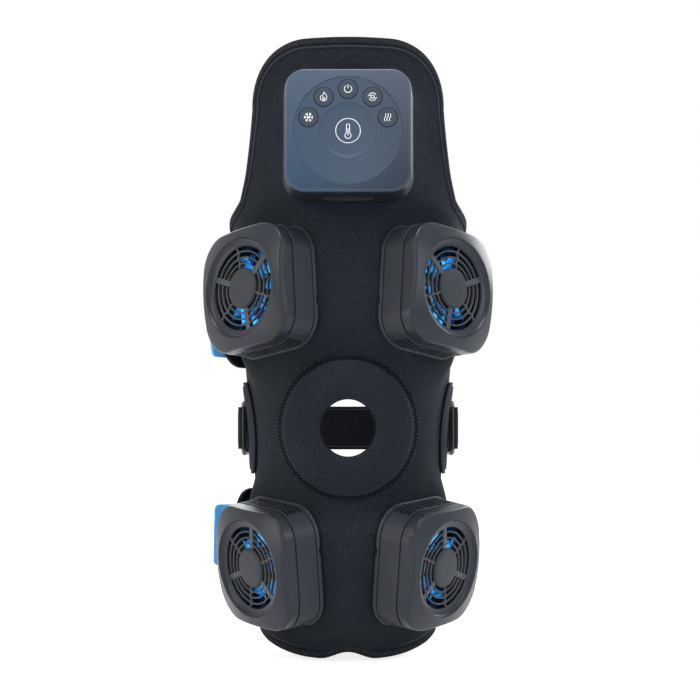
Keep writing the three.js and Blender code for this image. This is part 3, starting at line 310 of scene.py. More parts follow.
housingPlastic = plasticRecipe("housingPlastic", housingLook).material
capPlastic = makePlastic("capPlastic", (35, 39, 46), (46, 50, 57), 0.3)
grillePlastic = makePlastic("grillePlastic", (70, 69, 69), (88, 86, 84), 0.4)
hubPlastic = makePlastic("hubPlastic", (46, 49, 54), (55, 58, 62), 0.5)
spokePlastic = makePlastic("spokePlastic", (58, 68, 80), (76, 88, 102), 0.35)
fanLook = dict(housingLook, dark=(4, 5, 7), light=(9, 10, 13), roughness=0.4, specular=0.08)
fanPlastic = plasticRecipe("fanPlastic", fanLook).material
buttonPlastic = makePlastic("buttonPlastic", (56, 66, 78), (66, 76, 88), 0.42)
ringPlastic = makePlastic("ringPlastic", (122, 117, 112), (142, 137, 131), 0.34)
bodyPlastic = makePlastic("boxPlastic", (30, 32, 36), (42, 44, 48), 0.4)
rubberSeal = makePlastic("rubberSeal", (44, 45, 48), (60, 61, 64), 0.5)


# spans of the painted reflection on the face and the disc, in metres, and the paint's grain
paintAndReflectionForm = {"halfWidth": 0.046, "low": 0.155, "high": 0.245, "discHalf": 0.04, "grain": (3200.0, 0.08, 0.00008)}


def paintGrain(recipe):
    scale, strength, distance = paintAndReflectionForm["grain"]
    recipe.bump(recipe.noise(scale, 2.0), strength, distance)
    return recipe.material


def makeFacePaintAndReflection(name, roughness, specular):  # satin paint with a painted reflection: bluer on the left and darker on the right towards the bottom, lighter towards the top
    recipe = Recipe(name, roughness, 0.0, specular)
    across = recipe.mapped(recipe.along("X"), -paintAndReflectionForm["halfWidth"], paintAndReflectionForm["halfWidth"])
    upward = recipe.mapped(recipe.along("Z"), paintAndReflectionForm["low"], paintAndReflectionForm["high"])
    # painted reflection and shade: the lower ramp is darker and bluer on the left, the upper ramp lighter
    low = recipe.ramp(across, [(0.0, (50, 75, 99)), (0.5, (52, 66, 86)), (1.0, (38, 45, 58))])
    high = recipe.ramp(across, [(0.0, (82, 96, 116)), (0.5, (86, 98, 116)), (1.0, (84, 92, 106))])
    recipe.feed("Base Color", recipe.blendColors(upward, low, high))
    return paintGrain(recipe)


def makeDiscPaintAndReflection():
    recipe = Recipe("discPaintAndReflection", 0.45, 0.0, 0.12)
    # a faint painted reflection across the disc: bluer on the left, darker and greyer on the right
    across = recipe.mapped(recipe.along("X"), -paintAndReflectionForm["discHalf"], paintAndReflectionForm["discHalf"])
    tones = recipe.ramp(across, [(0.0, (66, 82, 102)), (0.6, (72, 86, 104)), (1.0, (68, 79, 94))])
    recipe.feed("Base Color", tones)
    return paintGrain(recipe)


def makeInk():
    recipe = Recipe("symbolInk", 0.55)
    tones = recipe.ramp(recipe.noise(900.0, 2.0), [(0.3, (236, 240, 244)), (0.7, (250, 252, 254))])
    recipe.feed("Base Color", tones)
    return recipe.material


# face and rim both carry the painted reflection; the rim is glossier
facePaintAndReflection = makeFacePaintAndReflection("facePaintAndReflection", 0.34, 0.12)
rimPaintAndReflection = makeFacePaintAndReflection("rimPaintAndReflection", 0.26, 0.3)
discPaintAndReflection = makeDiscPaintAndReflection()
symbolInk = makeInk()


def makeMetal(name, dark, light, roughness):
    recipe = Recipe(name, roughness, 1.0)
    streaks = recipe.ramp(recipe.noise(240.0, 3.0, (1, 1, 12)), [(0.3, dark), (0.7, light)])
    recipe.feed("Base Color", streaks)
    recipe.bump(recipe.noise(1800.0, 2.0, (1, 1, 10)), 0.1, 0.0001)
    return recipe


# Painted blue glow on the fins and blades, which are no lamps: emission stands in for blue light falling on them.
# Radii about the module's axis, then levels above its seat
glowReach = {"lit": 25.0, "unlit": 28.5, "darkest": (0, 2, 8), "patchEdge": (0.42, 0.54)}
finGlow = {
    "dark": 7.5, "bright": 15.6, "patches": 75.0, "shade": (0, 34, 92), "lit": (48, 172, 255), "strength": 2.1,
}
rotorGlow = {
    "dark": 25.0, "bright": 17.9, "patches": 120.0, "shade": (0, 6, 24), "lit": (34, 148, 240), "strength": 1.3,
}


def lightUp(recipe, place, form):
    normal = place.to_3x3().col[2].normalized()
    fromSeat = recipe.vector("SUBTRACT", recipe.place, place.translation * toMetres)["Vector"]
    depth = recipe.vector("DOT_PRODUCT", fromSeat, normal)["Value"]
    away = recipe.vector("LENGTH", recipe.vector("CROSS_PRODUCT", fromSeat, normal)["Vector"])["Value"]
    # painted light: the glow grows towards the bright level and shows in random patches; painted shade, with no
    # glow, beyond the grille's opening
    near = recipe.mapped(depth, form["dark"] * toMetres, form["bright"] * toMetres)
    outside = recipe.mapped(away, glowReach["lit"] * toMetres, glowReach["unlit"] * toMetres)
    stops = zip(glowReach["patchEdge"], (form["shade"], form["lit"]))
    patches = recipe.ramp(recipe.noise(form["patches"], 1.0), list(stops))
    unlit = recipe.flat(glowReach["darkest"])
    recipe.feed("Emission Color", recipe.blendColors(outside, recipe.blendColors(near, unlit, patches), unlit))
    recipe.shader.inputs["Emission Strength"].default_value = form["strength"]
    return recipe.material


aluminium = makeMetal("milledAluminium", (186, 190, 196), (214, 217, 221), 0.32).material
ceramic = makePlastic("chipCeramic", (222, 222, 216), (238, 238, 232), 0.6)
boardGreen = makePlastic("boardGreen", (16, 74, 42), (24, 96, 56), 0.4)
batteryFilm = makePlastic("batteryFilm", (34, 52, 92), (48, 70, 118), 0.35)
print("materials ready")


# Making pieces
weldReach = 0.0005


def vertsOf(result):
    return [item for item in result["geom"] if isinstance(item, bmesh.types.BMVert)]


def finishPiece(name, bm, material, body, nodeNames=(), place=None, sharp=38):
    if place is not None:
        bmesh.ops.transform(bm, matrix=place, verts=bm.verts)
        if place.determinant() < 0:
            bmesh.ops.reverse_faces(bm, faces=bm.faces)
    bmesh.ops.scale(bm, vec=(toMetres, toMetres, toMetres), verts=bm.verts)
    mesh = bpy.data.meshes.new(name)
    bm.to_mesh(mesh)
    bm.free()
    return dressMesh(name, mesh, material, body, nodeNames, sharp)


def dressMesh(name, mesh, material, body, nodeNames=(), sharp=38):
    mesh.materials.clear()
    mesh.materials.append(material)
    mesh.shade_smooth()
    mesh.set_sharp_from_angle(angle=math.radians(sharp))
    piece = bpy.data.objects.new(name, mesh)
    scene.collection.objects.link(piece)
    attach(piece, body)
    if nodeNames:
        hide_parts(*nodeNames)
    return piece


def faceOutward(bm):
    bmesh.ops.recalc_face_normals(bm, faces=bm.faces)
    return bm


def mappedGrid(columns, rows, placeAt):  # a grid whose corners run from 0 to 1, bent into shape
    bm = bmesh.new()
    bmesh.ops.create_grid(bm, x_segments=columns, y_segments=rows, size=0.5)
    for vert in bm.verts:
        vert.co = placeAt(vert.co.x + 0.5, vert.co.y + 0.5)
    bmesh.ops.remove_doubles(bm, verts=bm.verts, dist=weldReach)
    return faceOutward(bm)


def turned(profile, steps):  # spins a profile of (radius, level) about Z
    bm = bmesh.new()
    verts = [bm.verts.new((radius, 0, level)) for radius, level in profile]
    edges = [bm.edges.new(pair) for pair in zip(verts, verts[1:])]
    bmesh.ops.spin(
        bm, geom=verts + edges, cent=(0, 0, 0), axis=(0, 0, 1), angle=math.tau, steps=steps, use_merge=True)
    bmesh.ops.remove_doubles(bm, verts=bm.verts, dist=weldReach)
    return faceOutward(bm)


def mergeInto(bm, other):
    mesh = bpy.data.meshes.new("mergedPart")
    other.to_mesh(mesh)
    other.free()
    bm.from_mesh(mesh)
    bpy.data.meshes.remove(mesh)


# Round thread or wire along each path of points
def makeThread(name, paths, radius, sides, closed, material, body="wrap", nodeNames=()):
    curve = bpy.data.curves.new(name, "CURVE")
    curve.dimensions = "3D"
    curve.bevel_depth = radius * toMetres
    curve.bevel_resolution = sides
    curve.use_fill_caps = True
    for path in paths:
        spline = curve.splines.new("POLY")
        spline.points.add(len(path) - 1)
        for point, target in zip(path, spline.points):
            target.co = (*(point * toMetres), 1)
        spline.use_cyclic_u = closed
    holder = bpy.data.objects.new(name + "Curve", curve)
    scene.collection.objects.link(holder)
    mesh = bpy.data.meshes.new_from_object(holder.evaluated_get(bpy.context.evaluated_depsgraph_get()))
    bpy.data.objects.remove(holder)
    bpy.data.curves.remove(curve)
    mesh.name = name
    dressMesh(name, mesh, material, body, nodeNames)


def cutBy(bm, cutter):  # takes the cutter's volume out of the mesh
    holders = []
    for name, part in (("cutTarget", bm), ("cutTool", cutter)):
        mesh = bpy.data.meshes.new(name)
        part.to_mesh(mesh)
        part.free()
        holder = bpy.data.objects.new(name, mesh)
        scene.collection.objects.link(holder)
        holders.append(holder)
    cut = holders[0].modifiers.new("cut", "BOOLEAN")
    cut.operation = "DIFFERENCE"
    cut.solver = "EXACT"
    cut.object = holders[1]
    depsgraph = bpy.context.evaluated_depsgraph_get()
    mesh = bpy.data.meshes.new_from_object(holders[0].evaluated_get(depsgraph))
    result = bmesh.new()
    result.from_mesh(mesh)
    for holder in holders:
        data = holder.data
        bpy.data.objects.remove(holder)
        bpy.data.meshes.remove(data)
    bpy.data.meshes.remove(mesh)
    return result


def boxOf(width, height, depth, centre, edge=0.0):
    bm = bmesh.new()
    bmesh.ops.create_cube(bm, size=1)
    bmesh.ops.scale(bm, vec=(width, height, depth), verts=bm.verts)
    bmesh.ops.translate(bm, vec=centre, verts=bm.verts)
    if edge:
        bmesh.ops.bevel(bm, geom=bm.edges[:], offset=edge, offset_type="OFFSET", segments=2, profile=0.5,
                        affect="EDGES", material=-1)
    return bm


def rodOf(radius, length, segments, centre, axis=None):  # a rod along Z, or a quarter turn from it about an axis
    bm = bmesh.new()
    bmesh.ops.create_cone(bm, segments=segments, cap_ends=True, radius1=radius, radius2=radius, depth=length)
    if axis:
        bmesh.ops.rotate(bm, cent=(0, 0, 0), matrix=Matrix.Rotation(math.radians(90), 3, axis), verts=bm.verts)
    bmesh.ops.translate(bm, vec=centre, verts=bm.verts)
    return bm


cornerSteps = 14
sideSteps = 5
outlineSteps = 4 * (cornerSteps + sideSteps)
leastCorner = 0.4


def outlinePoint(u, width, height, corner):  # place on a rectangle with round corners, u from 0 to 1 round it
    corner = max(corner, leastCorner)
    step = round(u * outlineSteps) % outlineSteps
    quarter, rest = divmod(step, cornerSteps + sideSteps)
    signs = ((1, 1), (-1, 1), (-1, -1), (1, -1))

    def cornerPlace(sign, angle):
        x = sign[0] * (width / 2 - corner) + corner * math.cos(angle)
        return Vector((x, sign[1] * (height / 2 - corner) + corner * math.sin(angle)))

    start = math.pi / 2 * quarter
    if rest <= cornerSteps:
        return cornerPlace(signs[quarter], start + math.pi / 2 * rest / cornerSteps)
    first, after = (cornerPlace(signs[(quarter + more) % 4], start + math.pi / 2) for more in (0, 1))
    return first.lerp(after, (rest - cornerSteps) / sideSteps)


def roundedSweep(width, height, corner, section):  # sweeps pairs of (inset, level) round a rectangle
    def sweepPoint(u, v):
        inset, level = section[round(v * (len(section) - 1))]
        place = outlinePoint(u, width - 2 * inset, height - 2 * inset, corner - inset)
        return Vector((place.x, place.y, level))

    return mappedGrid(outlineSteps, len(section) - 1, sweepPoint)


def roundedBlock(width, height, corner, section):
    bm = roundedSweep(width, height, corner, section)
    bmesh.ops.holes_fill(bm, edges=[edge for edge in bm.edges if edge.is_boundary], sides=0)
    return faceOutward(bm)


def doubleSkin(columns, rows, placeAt):  # a closed cloth: placeAt(u, v, side) with side 1 outside, 0 inside
    bm = bmesh.new()
    bmesh.ops.create_grid(bm, x_segments=columns, y_segments=rows, size=0.5)
    outer = set(vertsOf(bmesh.ops.extrude_face_region(bm, geom=bm.faces[:])))
    for vert in bm.verts:
        vert.co = placeAt(vert.co.x + 0.5, vert.co.y + 0.5, 1 if vert in outer else 0)
    return faceOutward(bm)


def zigzagPath(placeAt, count, reachIn, reachOut):  # placeAt(share, reach) gives each end of a stitch
    return [placeAt(step / count, reachIn if step % 2 else reachOut) for step in range(count)]


def valueAt(table, level, column=1):  # straight lines between a table's rows, held at its ends
    index = 0
    while index < len(table) - 2 and level > table[index + 1][0]:
        index += 1
    low, high = table[index], table[index + 1]
    share = min(1, max(0, (level - low[0]) / (high[0] - low[0])))
    return low[column] + (high[column] - low[column]) * share


# The leg inside the wrap, in millimetres
legForm = {
    "stations": [
        # level, half width, half depth
        (-161, 61, 80), (-50, 64, 84), (0, 68, 86), (56, 73, 88), (155.5, 83.5, 92), (282, 93, 95),
    ],
    "bendLevel": 95,
    "calfSetback": 9.5,
    "thighSetback": 3.8,
    "neoprene": 5,
    "seatDepth": 1.5,
}


def stationValue(level, column):
    return valueAt(legForm["stations"], level, column)


def legAxis(level):
    setback = legForm["thighSetback"] if level > 0 else legForm["calfSetback"]
    reach = abs(level)
    bend = legForm["bendLevel"]
    return setback * (reach / bend) ** 2 if reach < bend else setback + 2 * setback * (reach - bend) / bend


def legPoint(angle, level, lift):
    halfWidth = stationValue(level, 1)
    halfDepth = stationValue(level, 2)
    across, along = math.sin(angle), -math.cos(angle)
    normal = Vector((across / halfWidth, along / halfDepth)).normalized()
    x = halfWidth * across + lift * normal.x
    return Vector((x, legAxis(level) + halfDepth * along + lift * normal.y, level))


def frontFace(x, level):
    halfWidth = stationValue(level, 1) + legForm["neoprene"]
    halfDepth = stationValue(level, 2) + legForm["neoprene"]
    return legAxis(level) - halfDepth * math.sqrt(1 - min(1, (x / halfWidth) ** 2))


def seatPlace(x, level, azimuth, lean, roll, flip=(1, 1)):  # a seat's own frame, +Z out of the wrap
    azimuth, lean, roll = (math.radians(value) for value in (azimuth, lean, roll))
    normal = Vector((math.sin(azimuth) * math.cos(lean), -math.cos(azimuth) * math.cos(lean), math.sin(lean)))
    up = (Vector((0, 0, 1)) - normal * normal.z).normalized()
    right = up.cross(normal)
    turn = Matrix((right, up, normal)).transposed().to_4x4() @ Matrix.Rotation(roll, 4, "Z")
    origin = Vector((x, frontFace(x, level), level)) - normal * legForm["seatDepth"]
    return Matrix.Translation(origin) @ turn @ Matrix.Diagonal((flip[0], flip[1], 1, 1))


moduleForm = {
    "width": 84, "height": 86, "corner": 22,
    "upper": {"spread": 52.8, "level": 95.3, "azimuth": 45, "lean": 3.5, "roll": 8},
    "lower": {"spread": 46, "level": -94.5, "azimuth": 52, "lean": -8.3, "roll": -5},
}
modulePlaces = {}
for rowName, upright in (("upper", 1), ("lower", -1)):
    row = moduleForm[rowName]
    for sideName, side in (("left", -1), ("right", 1)):
        modulePlaces[rowName + "_" + sideName] = seatPlace(
            side * row["spread"], row["level"], side * row["azimuth"], row["lean"], -side * row["roll"],
            (-side, upright))

boxForm = {
    "width": 86.5, "height": 84.6, "corner": 14, "level": 201, "lean": 3.2, "seatWidth": 68.5, "seatHeight": 66.6,
}
boxPlace = seatPlace(0, boxForm["level"], 0, boxForm["lean"], 0)


def outsideRounded(x, y, width, height, corner):  # distance outside a rounded rectangle
    across = max(abs(x) - width / 2 + corner, 0)
    along = max(abs(y) - height / 2 + corner, 0)
    inner = min(max(abs(x) - width / 2 + corner, abs(y) - height / 2 + corner), 0)
    return math.hypot(across, along) + inner - corner


def easeBetween(share):
    share = min(1, max(0, share))
    return share * share * (3 - 2 * share)


# Wrap panel
wrapForm = {
    "hemLevel": -161, "topLevel": 272.5, "hemRise": 13, "hemCorner": 10, "hemLobe": 2.6, "lobeShare": 0.34,
    "hemCornerStart": 0.78, "hemFade": 66.5, "edgeAverage": (-6, -3, 0, 3, 6),
    "topHalfWidth": 30, "shoulderHalfWidth": 68, "shoulderDrop": 46, "shoulderShare": 0.8,
    "holeHalfWidth": 18.6, "holeHalfHeight": 19.9, "holeReach": 30, "holeEdge": 1.02, "skin": 0.1,
    "rise": 10, "slope": 24, "reach": 45, "padClear": (1.12, 1.4),
    "window": 52, "windowCorner": 3, "windowLevels": (-14, 1.5),
    "columns": 168, "rows": 208, "flat": (0.392, 0.434), "flatArea": 0.1285,
}
shoulderLevel = wrapForm["topLevel"] - wrapForm["shoulderDrop"]


def tabAngle(halfWidth, level):
    return math.degrees(math.asin(halfWidth / (stationValue(level, 1) + legForm["neoprene"])))


panelEdges = [
    # level, half angle
    (-161, 104), (-141, 121), (-60, 121), (-32, 99), (32, 99), (60, 121), (128, 121), (150, 100),
    (160, tabAngle(79, 160)), (181, tabAngle(73.6, 181)), (202, tabAngle(70.6, 202)),
    (shoulderLevel, tabAngle(68, shoulderLevel)),
]


def panelHalfAngle(level):
    if level > shoulderLevel:
        share = min(1, (level - shoulderLevel) / wrapForm["shoulderDrop"])
        rounding = 1 - math.sqrt(1 - share * share)
        wide = tabAngle(wrapForm["shoulderHalfWidth"], shoulderLevel)
        return wide + (tabAngle(wrapForm["topHalfWidth"], wrapForm["topLevel"]) - wide) * rounding
    total = 0
    for offset in wrapForm["edgeAverage"]:  # a short average rounds the corners between the stations
        total += valueAt(panelEdges, min(shoulderLevel, max(wrapForm["hemLevel"], level + offset)))
    return total / len(wrapForm["edgeAverage"])


def hemLift(side):
    reach = abs(side)
    low = wrapForm["lobeShare"] / 2
    start = wrapForm["hemCornerStart"]
    lobes = wrapForm["hemLobe"] * math.cos(math.pi * min(1, reach / low))
    corner = wrapForm["hemCorner"] * easeBetween((reach - start) / (1 - start))
    return lobes + wrapForm["hemRise"] * easeBetween((reach - low) / (1 - low)) + corner


def panelLevel(v):
    split = wrapForm["shoulderShare"]
    if v <= split:
        return wrapForm["hemLevel"] + (shoulderLevel - wrapForm["hemLevel"]) * v / split
    return shoulderLevel + wrapForm["shoulderDrop"] * math.sin(math.pi / 2 * (v - split) / (1 - split))


def raisedPoint(point):  # the fabric rises to meet each module and the control box, and stays flat under the pad
    lifted = point.copy()
    padStart, padEnd = wrapForm["padClear"]
    padReach = math.hypot(point.x / padForm["halfWidth"], point.z / padForm["halfHeight"])
    clear = easeBetween((padReach - padStart) / (padEnd - padStart))
    size = (moduleForm["width"], moduleForm["height"], moduleForm["corner"])
    seats = [(place, *size) for place in modulePlaces.values()]
    seats.append((boxPlace, boxForm["seatWidth"], boxForm["seatHeight"], boxForm["corner"]))
    for place, width, height, corner in seats:
        near = place.inverted() @ point
        outside = outsideRounded(near.x, near.y, width, height, corner)
        weight = 1 - easeBetween(outside / wrapForm["slope"])
        if weight == 0 or near.z < -wrapForm["reach"]:
            continue
        near.z += min(-wrapForm["skin"] - near.z, wrapForm["rise"]) * weight * clear
        lifted += (place @ near) - point
    return lifted


def panelPoint(u, v, lift):
    level = panelLevel(v)
    side = 2 * u - 1
    hemShare = max(0, 1 - (level - wrapForm["hemLevel"]) / wrapForm["hemFade"])
    return legPoint(math.radians(side * panelHalfAngle(level)), level + hemShare * hemLift(side), lift)


def makeWrapPanel():
    bm = bmesh.new()
    bmesh.ops.create_grid(bm, x_segments=wrapForm["columns"], y_segments=wrapForm["rows"], size=0.5)
    across = bm.verts.layers.float.new("across")
    upward = bm.verts.layers.float.new("upward")
    skin = wrapForm["skin"]
    halfWidth, halfHeight = wrapForm["holeHalfWidth"], wrapForm["holeHalfHeight"]

    def holeShare(point):  # 1 on the rim of the knee hole
        return math.hypot(point.x / halfWidth, point.z / halfHeight)

    for vert in bm.verts:
        vert[across], vert[upward] = vert.co.x + 0.5, vert.co.y + 0.5
        vert.co = raisedPoint(panelPoint(vert[across], vert[upward], legForm["neoprene"] - skin))
    centres = [(face, face.calc_center_median()) for face in bm.faces]
    inside = [face for face, centre in centres if centre.y < 0 and holeShare(centre) < 1]
    bmesh.ops.delete(bm, geom=inside, context="FACES")
    for vert in bm.verts:
        if vert.is_boundary and vert.co.y < 0 and math.hypot(vert.co.x, vert.co.z) < wrapForm["holeReach"]:
            angle = math.atan2(vert.co.z / halfHeight, vert.co.x / halfWidth)
            vert.co.x = halfWidth * math.cos(angle)
            vert.co.z = halfHeight * math.sin(angle)
            vert.co.y = frontFace(vert.co.x, vert.co.z) + skin
    for vert in vertsOf(bmesh.ops.extrude_face_region(bm, geom=bm.faces[:])):
        if holeShare(vert.co) < wrapForm["holeEdge"] and vert.co.y < 0:
            vert.co = Vector((vert.co.x, vert.co.y + legForm["neoprene"] - skin, vert.co.z))
        else:
            vert.co = panelPoint(vert[across], vert[upward], 0)
    faceOutward(bm)
    windows = bmesh.new()
    side, corner = wrapForm["window"], wrapForm["windowCorner"]
    for place in modulePlaces.values():  # each cold plate reaches the skin through a window
        window = roundedBlock(side, side, corner, [(0, level) for level in wrapForm["windowLevels"]])
        bmesh.ops.transform(window, matrix=place, verts=window.verts)
        mergeInto(windows, faceOutward(window))
    bm = cutBy(bm, windows)
    piece = finishPiece("wrapPanel", bm, neoprene, "wrap", ["wrap_panel"], sharp=60)


# Bound edge: folded tape, its zig-zag thread and the cord inside it
bindingForm = {
    "step": 2.0, "width": 5.2, "proud": 0.9, "threadRadius": 0.32, "threadIn": 0.8, "threadOut": 3.2,
    "threadLift": 0.12, "cord": 0.8, "cordOut": 0.6, "cordLift": 0.25,
    "middle": (0, -93, 60),  # a place on the panel, which the inward direction points to
    # start and end of each edge on the panel, and its number of steps
    "edges": [((0, 0), (0, 1), 900), ((0, 1), (1, 1), 120), ((1, 1), (1, 0), 900), ((1, 0), (0, 0), 700)],
}


def edgeLoop(points):  # evenly spaced places round the panel, each with its inward and outward direction
    dense = []
    for (uStart, vStart), (uEnd, vEnd), count in points:
        for step in range(count):
            share = step / count
            dense.append((uStart + (uEnd - uStart) * share, vStart + (vEnd - vStart) * share))
    places = [raisedPoint(panelPoint(u, v, legForm["neoprene"])) for u, v in dense]
    outward = [(panelPoint(u, v, 6) - panelPoint(u, v, 4)).normalized() for u, v in dense]
    reached = [0]
    for index in range(len(places)):
        reached.append(reached[-1] + (places[(index + 1) % len(places)] - places[index]).length)
    count = int(reached[-1] / bindingForm["step"] / 2) * 2
    even = []
    index = 0
    for step in range(count):
        target = reached[-1] * step / count
        while reached[index + 1] < target:
            index += 1
        share = (target - reached[index]) / (reached[index + 1] - reached[index])
        after = (index + 1) % len(places)
        even.append((places[index].lerp(places[after], share), outward[index].lerp(outward[after], share)))
    frames = []
    for step, (point, normal) in enumerate(even):
        tangent = Vector()
        for reach in (1, 2, 3):
            tangent += even[(step + reach) % count][0] - even[step - reach][0]
        inward = normal.cross(tangent).normalized()
        frames.append((point, inward, inward.cross(tangent).normalized() * -1))
    return frames


def makeBinding():
    frames = edgeLoop(bindingForm["edges"])
    middle = Vector(bindingForm["middle"])
    if (middle - frames[0][0]).dot(frames[0][1]) < 0:
        frames = [(point, -inward, outward) for point, inward, outward in frames]
    if (frames[0][0] - Vector((0, 0, frames[0][0].z))).dot(frames[0][2]) < 0:
        frames = [(point, inward, -outward) for point, inward, outward in frames]
    width, proud = bindingForm["width"], bindingForm["proud"]
    section = [
        (width, -0.2), (width, proud * 0.75), (width - 0.7, proud), (width / 2, proud * 1.05), (0.6, proud),
        (-0.6, proud * 0.3), (-1.2, -1.0), (-1.3, -2.5), (-1.2, -4.0), (-0.6, -5.2), (0.6, -5.7),
        (width - 0.7, -5.6), (width, -5.2), (width, -4.4), (width, -0.2),
    ]
    count = len(frames)

    def tapePoint(u, v):
        point, inward, outward = frames[round(u * count) % count]
        across, high = section[round(v * (len(section) - 1))]
        return point + inward * across + outward * high

    tape = mappedGrid(count, len(section) - 1, tapePoint)
    finishPiece("edgeBinding", tape, bindingTape, "wrap", sharp=50)
    zigzag = []
    cord = []
    cordIn = width + bindingForm["cord"] * bindingForm["cordOut"]
    for index, (point, inward, outward) in enumerate(frames):
        along = frames[(index + 1) % count][0] - point
        for half, reach in ((0, bindingForm["threadIn"]), (0.5, bindingForm["threadOut"])):
            zigzag.append(point + along * half + inward * reach + outward * (proud + bindingForm["threadLift"]))
        cord.append(point + inward * cordIn + outward * bindingForm["cordLift"])
    makeThread("edgeStitching", [zigzag], bindingForm["threadRadius"], 0, True, threadGrey)
    makeThread("edgePiping", [cord], bindingForm["cord"], 1, True, pipingCord)


# Knee pad: a stuffed ring with a stitched flange
padForm = {
    "halfWidth": 50.5, "halfHeight": 51, "holeWidth": 19.6, "holeHeight": 20.6, "seam": 0.6,
    "columns": 180, "smooth": 0.3, "fill": 0.75, "puffCap": 0.0012,
    "stitches": 112, "stitchIn": 47.1, "stitchOut": 50.1, "stitchLift": 1.45, "thread": 0.45,
    "waves": ((0.12, 7, 0.6), (0.08, 13, 0)), "waveEnd": 0.88,  # height, number and start of each wave
    "section": [
        # share of the way out, height off the panel
        (0.0, 0.2), (0.0, 1.6), (0.012, 3.2), (0.04, 4.7), (0.09, 5.8), (0.16, 6.6), (0.26, 7.1), (0.38, 7.1),
        (0.5, 6.7), (0.62, 6.1), (0.72, 5.4), (0.785, 4.9), (0.828, 4.5), (0.85, 3.9), (0.858, 3.0), (0.862, 2.0),
        (0.87, 1.4), (0.9, 1.25), (0.985, 1.25), (1.005, 0.9), (1.0, 0.2),
    ],
}


def padPlace(angle, share, height):
    across = padForm["holeWidth"] + (padForm["halfWidth"] - padForm["holeWidth"]) * share
    upward = padForm["holeHeight"] + (padForm["halfHeight"] - padForm["holeHeight"]) * share
    x, level = across * math.cos(angle), upward * math.sin(angle)
    return Vector((x, frontFace(x, level) - padForm["seam"] - height, level))


def makeKneePad():
    section = padForm["section"] + [(0.5, 0.0), padForm["section"][0]]
    dense = []
    for low, high in zip(section, section[1:]):  # two steps between the section's points keep it smooth
        dense += [low, ((low[0] + high[0]) / 2, (low[1] + high[1]) / 2)]
    dense.append(section[-1])
    rows = len(dense) - 1

    def ringPoint(u, v):
        share, height = dense[round(v * rows)]
        angle = math.tau * u
        wave = sum(high * math.sin(angle * number + start) for high, number, start in padForm["waves"])
        wave *= max(0, math.sin(math.pi * min(1, share / padForm["waveEnd"])))
        return padPlace(angle, share, height + wave)

    def stitchPlace(turn, reach):
        share = (reach - padForm["holeWidth"]) / (padForm["halfWidth"] - padForm["holeWidth"])
        return padPlace(math.tau * turn, share, padForm["stitchLift"])

    bm = mappedGrid(padForm["columns"], rows, ringPoint)
    bmesh.ops.smooth_vert(bm, verts=bm.verts[:], factor=padForm["smooth"])
    piece = finishPiece("kneePad", bm, padCloth, "wrap", ["knee_pad"], sharp=70)
    puffUp(piece, padForm["puffCap"])
    path = zigzagPath(stitchPlace, padForm["stitches"] * 2, padForm["stitchIn"], padForm["stitchOut"])
    makeThread("kneePadStitching", [path], padForm["thread"], 0, True, threadBlack)


puffForm = {
    "frames": 20, "quality": 6, "mass": 0.2, "stiffness": 40, "bending": 4, "pressure": 4,
    "sewnHeight": 0.0022, "sewnReach": 0.93,
}


def puffUp(piece, cap):  # a short cloth simulation swells the stuffed ring; its movement is capped
    mesh = piece.data
    start = [vert.co.copy() for vert in mesh.vertices]
    pinned = piece.vertex_groups.new(name="sewnDown")
    for vert in mesh.vertices:
        front = frontFace(vert.co.x / toMetres, vert.co.z / toMetres) * toMetres - vert.co.y
        reach = math.hypot(vert.co.x / padForm["halfWidth"], vert.co.z / padForm["halfHeight"]) / toMetres
        if front < puffForm["sewnHeight"] or reach > puffForm["sewnReach"]:
            pinned.add([vert.index], 1.0, "REPLACE")
    cloth = piece.modifiers.new("swell", "CLOTH")
    cloth.settings.quality = puffForm["quality"]
    cloth.settings.mass = puffForm["mass"]
    cloth.settings.tension_stiffness = puffForm["stiffness"]
    cloth.settings.compression_stiffness = puffForm["stiffness"]
    cloth.settings.bending_stiffness = puffForm["bending"]
    cloth.settings.use_pressure = True
    cloth.settings.uniform_pressure_force = puffForm["pressure"]
    cloth.settings.vertex_group_mass = pinned.name
    cloth.settings.effector_weights.gravity = 0
    cloth.collision_settings.use_collision = False
    cloth.point_cache.frame_start = 1
    cloth.point_cache.frame_end = puffForm["frames"]
    for frameNumber in range(1, puffForm["frames"] + 1):
        scene.frame_set(frameNumber)
    swollen = piece.evaluated_get(bpy.context.evaluated_depsgraph_get()).to_mesh()
    moved = [vert.co.copy() for vert in swollen.vertices]
    piece.modifiers.remove(cloth)
    scene.frame_set(1)
    piece.vertex_groups.clear()
    for vert, before, after in zip(mesh.vertices, start, moved):
        step = after - before
        vert.co = before + (step if step.length <= cap else step.normalized() * cap)
    mesh.update()


